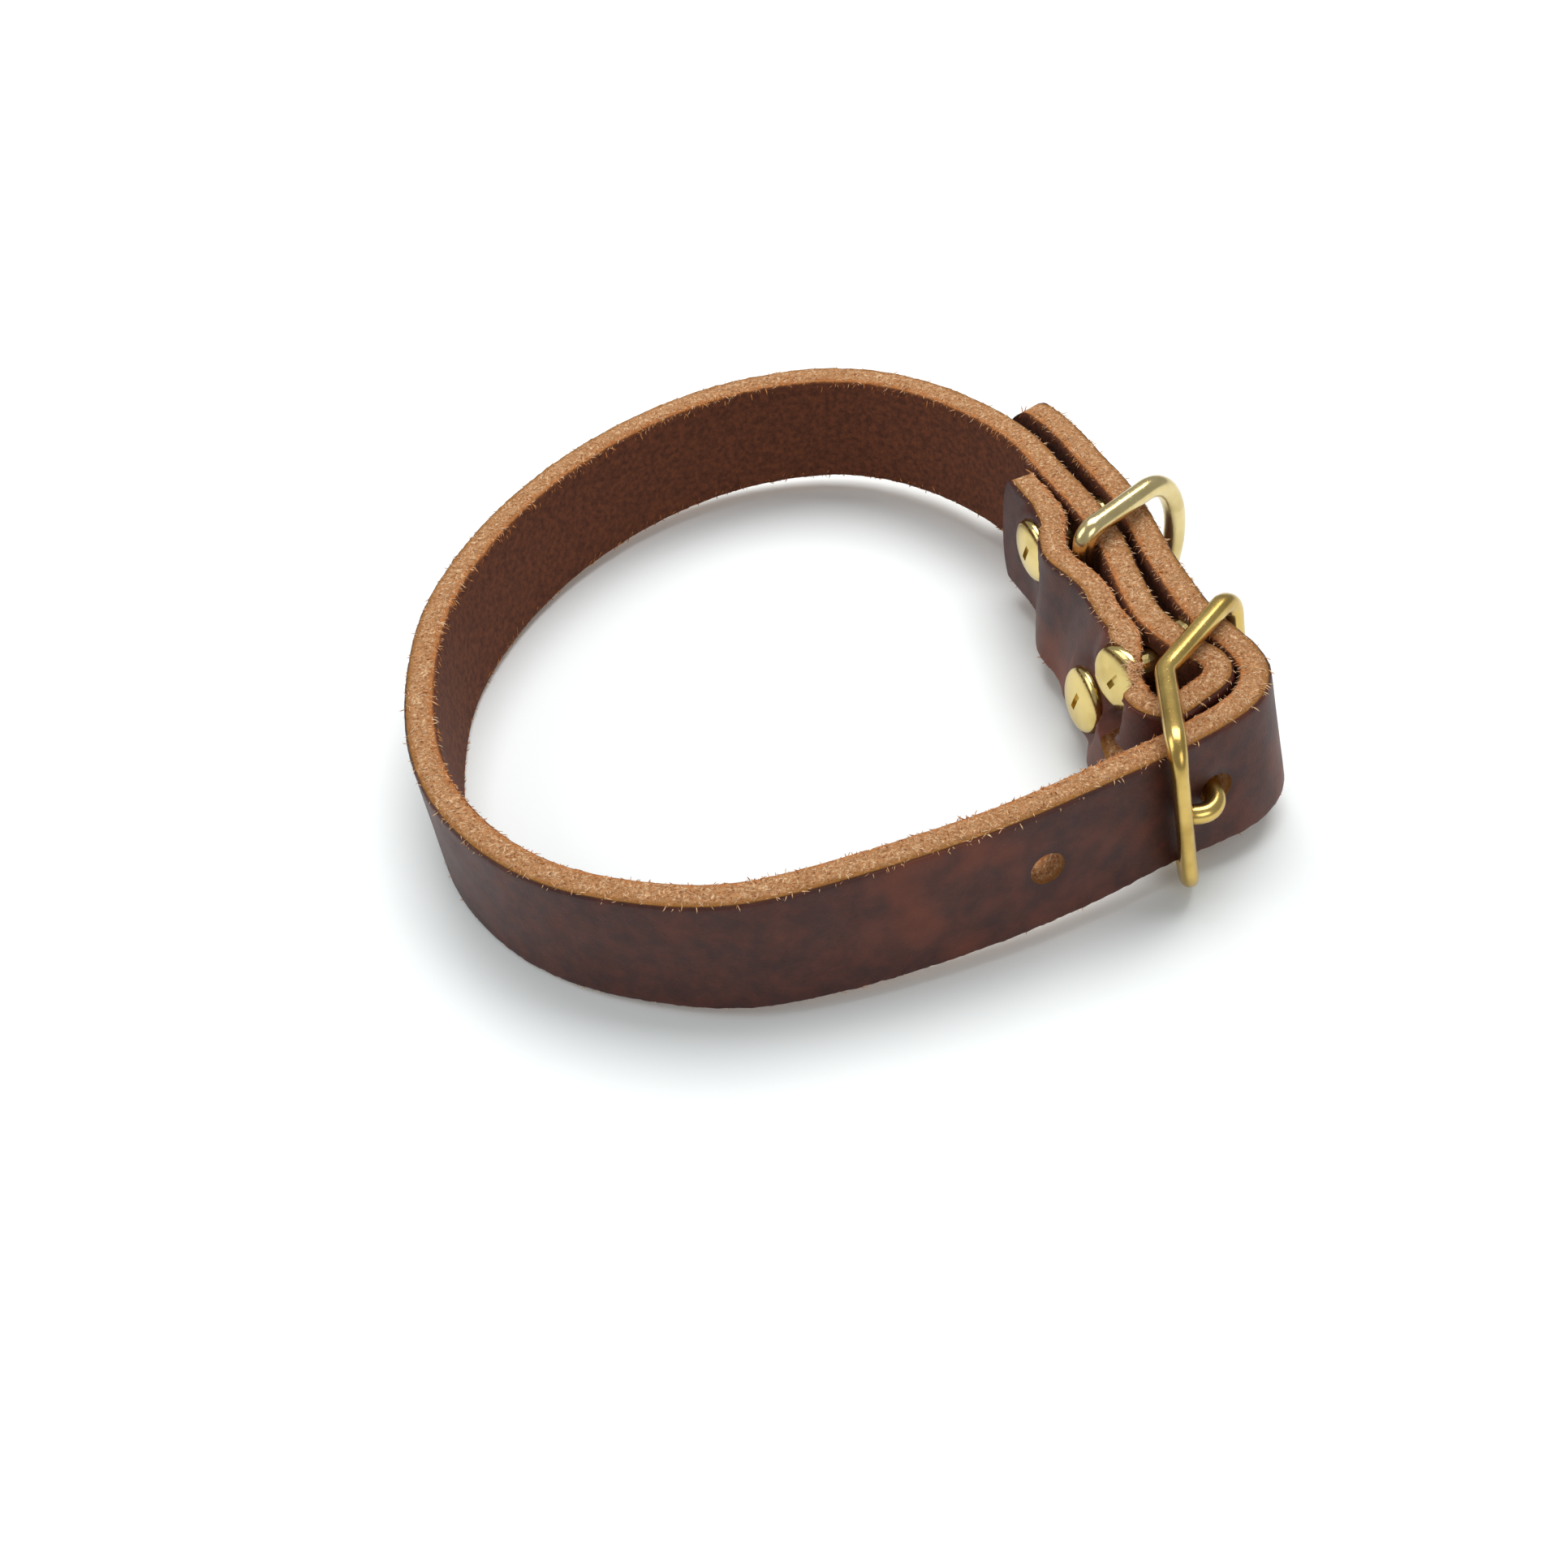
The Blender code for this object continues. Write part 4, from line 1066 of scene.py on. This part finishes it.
def fibre_tree(name, density, seed, material, lay):
    """Geometry Nodes that scatter bent fibres over a surface.

    lay holds the least and the most lean from the surface's normal, in degrees.
    """
    tree = bpy.data.node_groups.new(name, "GeometryNodeTree")
    for title, kind, side in (("Surface", "NodeSocketGeometry", "INPUT"),
                              ("Fibre", "NodeSocketObject", "INPUT"),
                              ("Fibres per square metre", "NodeSocketFloat", "INPUT"),
                              ("Shortest", "NodeSocketFloat", "INPUT"),
                              ("Longest", "NodeSocketFloat", "INPUT"),
                              ("Result", "NodeSocketGeometry", "OUTPUT")):
        tree.interface.new_socket(title, in_out=side, socket_type=kind)

    def node(kind, settings=None, **sockets):
        made = tree.nodes.new(kind)
        for key, value in (settings or {}).items():
            setattr(made, key, value)
        for key, value in sockets.items():
            title = key.replace("_", " ")
            spot = [one for one in made.inputs if one.enabled and one.name == title][0]
            if isinstance(value, bpy.types.NodeSocket):
                tree.links.new(value, spot)
            else:
                spot.default_value = value
        return made

    entry = node("NodeGroupInput").outputs
    spread = node("GeometryNodeDistributePointsOnFaces", {"distribute_method": "RANDOM"},
                  Mesh=entry["Surface"], Density=entry["Fibres per square metre"], Seed=seed)
    shape = node("GeometryNodeObjectInfo", None, Object=entry["Fibre"])
    lean = node("FunctionNodeRandomValue", {"data_type": "FLOAT_VECTOR"}, Seed=seed + 1,
                Min=(math.radians(lay[0]), 0.0, 0.0), Max=(math.radians(lay[1]), 0.0, 0.0))
    spin = node("FunctionNodeRandomValue", {"data_type": "FLOAT_VECTOR"}, Seed=seed + 2,
                Min=(0.0, 0.0, 0.0), Max=(0.0, 0.0, 2 * math.pi))
    size = node("FunctionNodeRandomValue", {"data_type": "FLOAT"}, Seed=seed + 3,
                Min=entry["Shortest"], Max=entry["Longest"])
    turned_on = node("FunctionNodeRotateRotation", {"rotation_space": "LOCAL"},
                     Rotation=spread.outputs["Rotation"],
                     Rotate_By=[one for one in spin.outputs if one.enabled][0])
    leaned = node("FunctionNodeRotateRotation", {"rotation_space": "LOCAL"},
                  Rotation=turned_on.outputs[0],
                  Rotate_By=[one for one in lean.outputs if one.enabled][0])
    grown = node("GeometryNodeInstanceOnPoints", None, Points=spread.outputs["Points"],
                 Instance=shape.outputs["Geometry"], Rotation=leaned.outputs[0],
                 Scale=[one for one in size.outputs if one.enabled][0])
    real = node("GeometryNodeRealizeInstances", None, Geometry=grown.outputs["Instances"])
    dressed = node("GeometryNodeSetMaterial", None, Geometry=real.outputs["Geometry"],
                   Material=material)
    leave = tree.nodes.new("NodeGroupOutput")
    tree.links.new(dressed.outputs["Geometry"], leave.inputs["Result"])
    return tree


def fibre_shape(name, bend, thick):
    """One fibre a metre long, to be scaled: a bent three-sided spindle from the origin."""
    vertices = [(0.0, 0.0, 0.0)]
    faces = []
    for share in (0.3, 0.7):
        middle = Vector((bend * share * share, 0.4 * bend * share * (1 - share), share))
        for i in range(3):
            spot = heading_vector(120 * i) * thick
            vertices.append((middle.x + spot[0], middle.y + spot[1], middle.z))
    vertices.append((bend, 0.0, 1.0))
    for i in range(3):
        j = (i + 1) % 3
        faces += [(0, 1 + j, 1 + i), (1 + i, 1 + j, 4 + j, 4 + i), (4 + i, 4 + j, 7)]
    mesh = bpy.data.meshes.new(name)
    mesh.from_pydata(vertices, [], faces)
    made = bpy.data.objects.new(name, mesh)
    bpy.context.scene.collection.objects.link(made)
    return made


def edge_strip(name, first, last, top):
    """Open strip of the strap's cut edge between two places round its section."""
    section, grain_count, top_count = strap_section()
    picks = section[grain_count - 1 + first:grain_count + top_count + last]
    if not top:
        picks = picks * np.array([1, -1])
    vertices = strap_points(*strap_grid(picks, STRIP_STEP))
    count = len(picks)
    faces = []
    for i in range(len(vertices) // count - 1):
        for j in range(count - 1):
            face = (i * count + j, (i + 1) * count + j, (i + 1) * count + j + 1, i * count + j + 1)
            faces.append(face[::-1] if top else face)
    return new_piece(name, vertices, faces, None)


def grow_fibres(name, strip, fibre, density, lengths, lay, seed, material):
    """Fibres over a strip, as one plain mesh on the strap's body."""
    tree = fibre_tree(name + "_tree", density, seed, material, lay)
    step = strip.modifiers.new("fibres", "NODES")
    step.node_group = tree
    sockets = {item.name: item.identifier for item in tree.interface.items_tree}
    step[sockets["Fibre"]] = fibre
    step[sockets["Fibres per square metre"]] = density / MM / MM
    step[sockets["Shortest"]] = lengths[0] * MM
    step[sockets["Longest"]] = lengths[1] * MM
    graph = bpy.context.evaluated_depsgraph_get()
    mesh = bpy.data.meshes.new_from_object(strip.evaluated_get(graph), depsgraph=graph)
    strip.modifiers.remove(step)
    bpy.data.objects.remove(strip, do_unlink=True)
    made = bpy.data.objects.new(name, mesh)
    bpy.context.scene.collection.objects.link(made)
    mesh.shade_smooth()
    return made


def make_camera():
    """Camera at the photograph's place over the collar, turned with the resting collar."""
    pitch, roll = math.radians(CAMERA_PITCH), math.radians(CAMERA_ROLL)
    ahead = Vector((0, math.cos(pitch), -math.sin(pitch)))
    level = Vector((1, 0, 0))
    upright = Vector((0, math.sin(pitch), math.cos(pitch)))
    right = level * math.cos(roll) + upright * math.sin(roll)
    up = upright * math.cos(roll) - level * math.sin(roll)
    turn = Matrix((right, up, -ahead)).transposed().to_4x4()
    data = bpy.data.cameras.new("camera")
    data.sensor_width = SENSOR
    data.lens = CAMERA_FOCAL / PHOTO_SIZE * SENSOR
    data.clip_start = 0.01
    camera = bpy.data.objects.new("camera", data)
    camera.matrix_world = REST @ Matrix.Translation(CAMERA_AT) @ turn
    bpy.context.scene.collection.objects.link(camera)
    bpy.context.scene.camera = camera


def make_floor():
    """Pale floor with a faint cool tint."""
    finish = Finish("pale_floor", Base_Color=(0.86, 0.885, 0.875, 1.0), Roughness=0.6)
    mesh = bpy.data.meshes.new("floor")
    reach = 3.0
    mesh.from_pydata([(-reach, -reach, 0), (reach, -reach, 0), (reach, reach, 0), (-reach, reach, 0)],
                     [], [(0, 1, 2, 3)])
    mesh.materials.append(finish.material)
    floor = bpy.data.objects.new("floor", mesh)
    bpy.context.scene.collection.objects.link(floor)


def add_light(name, place, aim, size, power, color=(1.0, 1.0, 1.0)):
    """One soft square light."""
    data = bpy.data.lights.new(name, "AREA")
    data.shape = "RECTANGLE"
    data.size, data.size_y = size
    data.energy = power
    data.color = color
    light = bpy.data.objects.new(name, data)
    light.matrix_world = (Matrix.Translation(place)
                          @ (Vector(aim) - Vector(place)).to_track_quat("-Z", "Y").to_matrix().to_4x4())
    bpy.context.scene.collection.objects.link(light)


def light_scene():
    """Soft studio light: a big box overhead and behind, one from the left, a low fill."""
    world = bpy.data.worlds.new("studio")
    world.use_nodes = True
    world.node_tree.nodes["Background"].inputs["Color"].default_value = (0.93, 0.97, 1.0, 1.0)
    world.node_tree.nodes["Background"].inputs["Strength"].default_value = 0.42
    bpy.context.scene.world = world
    add_light("overhead", (0.10, 0.35, 0.9), (0, 0, 0), (0.8, 0.6), 9.0)
    add_light("left", (-0.8, 0.1, 0.5), (0, 0, 0), (0.5, 0.7), 2.6)
    add_light("front", (0.35, -0.75, 0.55), (0, 0, 0), (0.5, 0.4), 1.6)


def dress(piece, body, slot, *nodes):
    """Says what a finished piece rides on and hides the imported parts it stands for; slot is not used."""
    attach(piece, body)
    if nodes:
        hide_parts(*nodes)


def main():
    """Dresses the collar, its floor and its light."""
    buckle_brass = brass("buckle_brass", (0.66, 0.46, 0.14), (0.40, 0.25, 0.06), 0.20, 0.8)
    ring_brass = brass("ring_brass", (0.76, 0.61, 0.30), (0.52, 0.38, 0.14), 0.17, 0.7)
    screw_brass = brass("screw_brass", (0.72, 0.56, 0.22), (0.46, 0.32, 0.09), 0.14, 0.7)
    strap = make_strap(leather())
    dress(strap, "collar", "chestnut_leather", "strap")
    dress(make_buckle(buckle_brass), "collar", "buckle_brass", "buckle_frame")
    dress(make_prong(buckle_brass), "collar", "buckle_brass", "buckle_prong")
    dress(make_ring(ring_brass), "ring", "ring_brass", "d_ring")
    for number, place in enumerate(SCREW_PLACES, start=1):
        dress(make_screw(number, place, screw_brass), "collar", "screw_brass",
              "screw_%d" % number)
        post = frame["nodes"]["post_%d" % number]
        post.material_slots[0].material = screw_brass
    pale = fibre_finish("pale_fibre", FUZZ_PALE, CUT_BODY)
    orange = fibre_finish("orange_fibre", CUT_BODY, FUZZ_ORANGE)
    curl = fibre_shape("fibre", 0.32, 0.07)
    for side, top in (("upper", True), ("lower", False)):
        strip = edge_strip(side + "_strip", 3, -2, top)
        nap = grow_fibres(side + "_edge_nap", strip, curl, 8.5 if top else 3.0, (0.5, 1.2),
                          (60, 94), 11, pale)
        dress(nap, "collar", "chestnut_leather")
        strip = edge_strip(side + "_flesh_strip", 10, 0, top)
        fuzz = grow_fibres(side + "_flesh_fuzz", strip, curl, 13.0, (0.5, 1.5),
                           (15, 85), 23, orange)
        dress(fuzz, "collar", "chestnut_leather")
    bpy.data.objects.remove(curl, do_unlink=True)
    make_floor()
    light_scene()
    make_camera()
    bpy.context.scene.view_settings.view_transform = "Standard"


main()
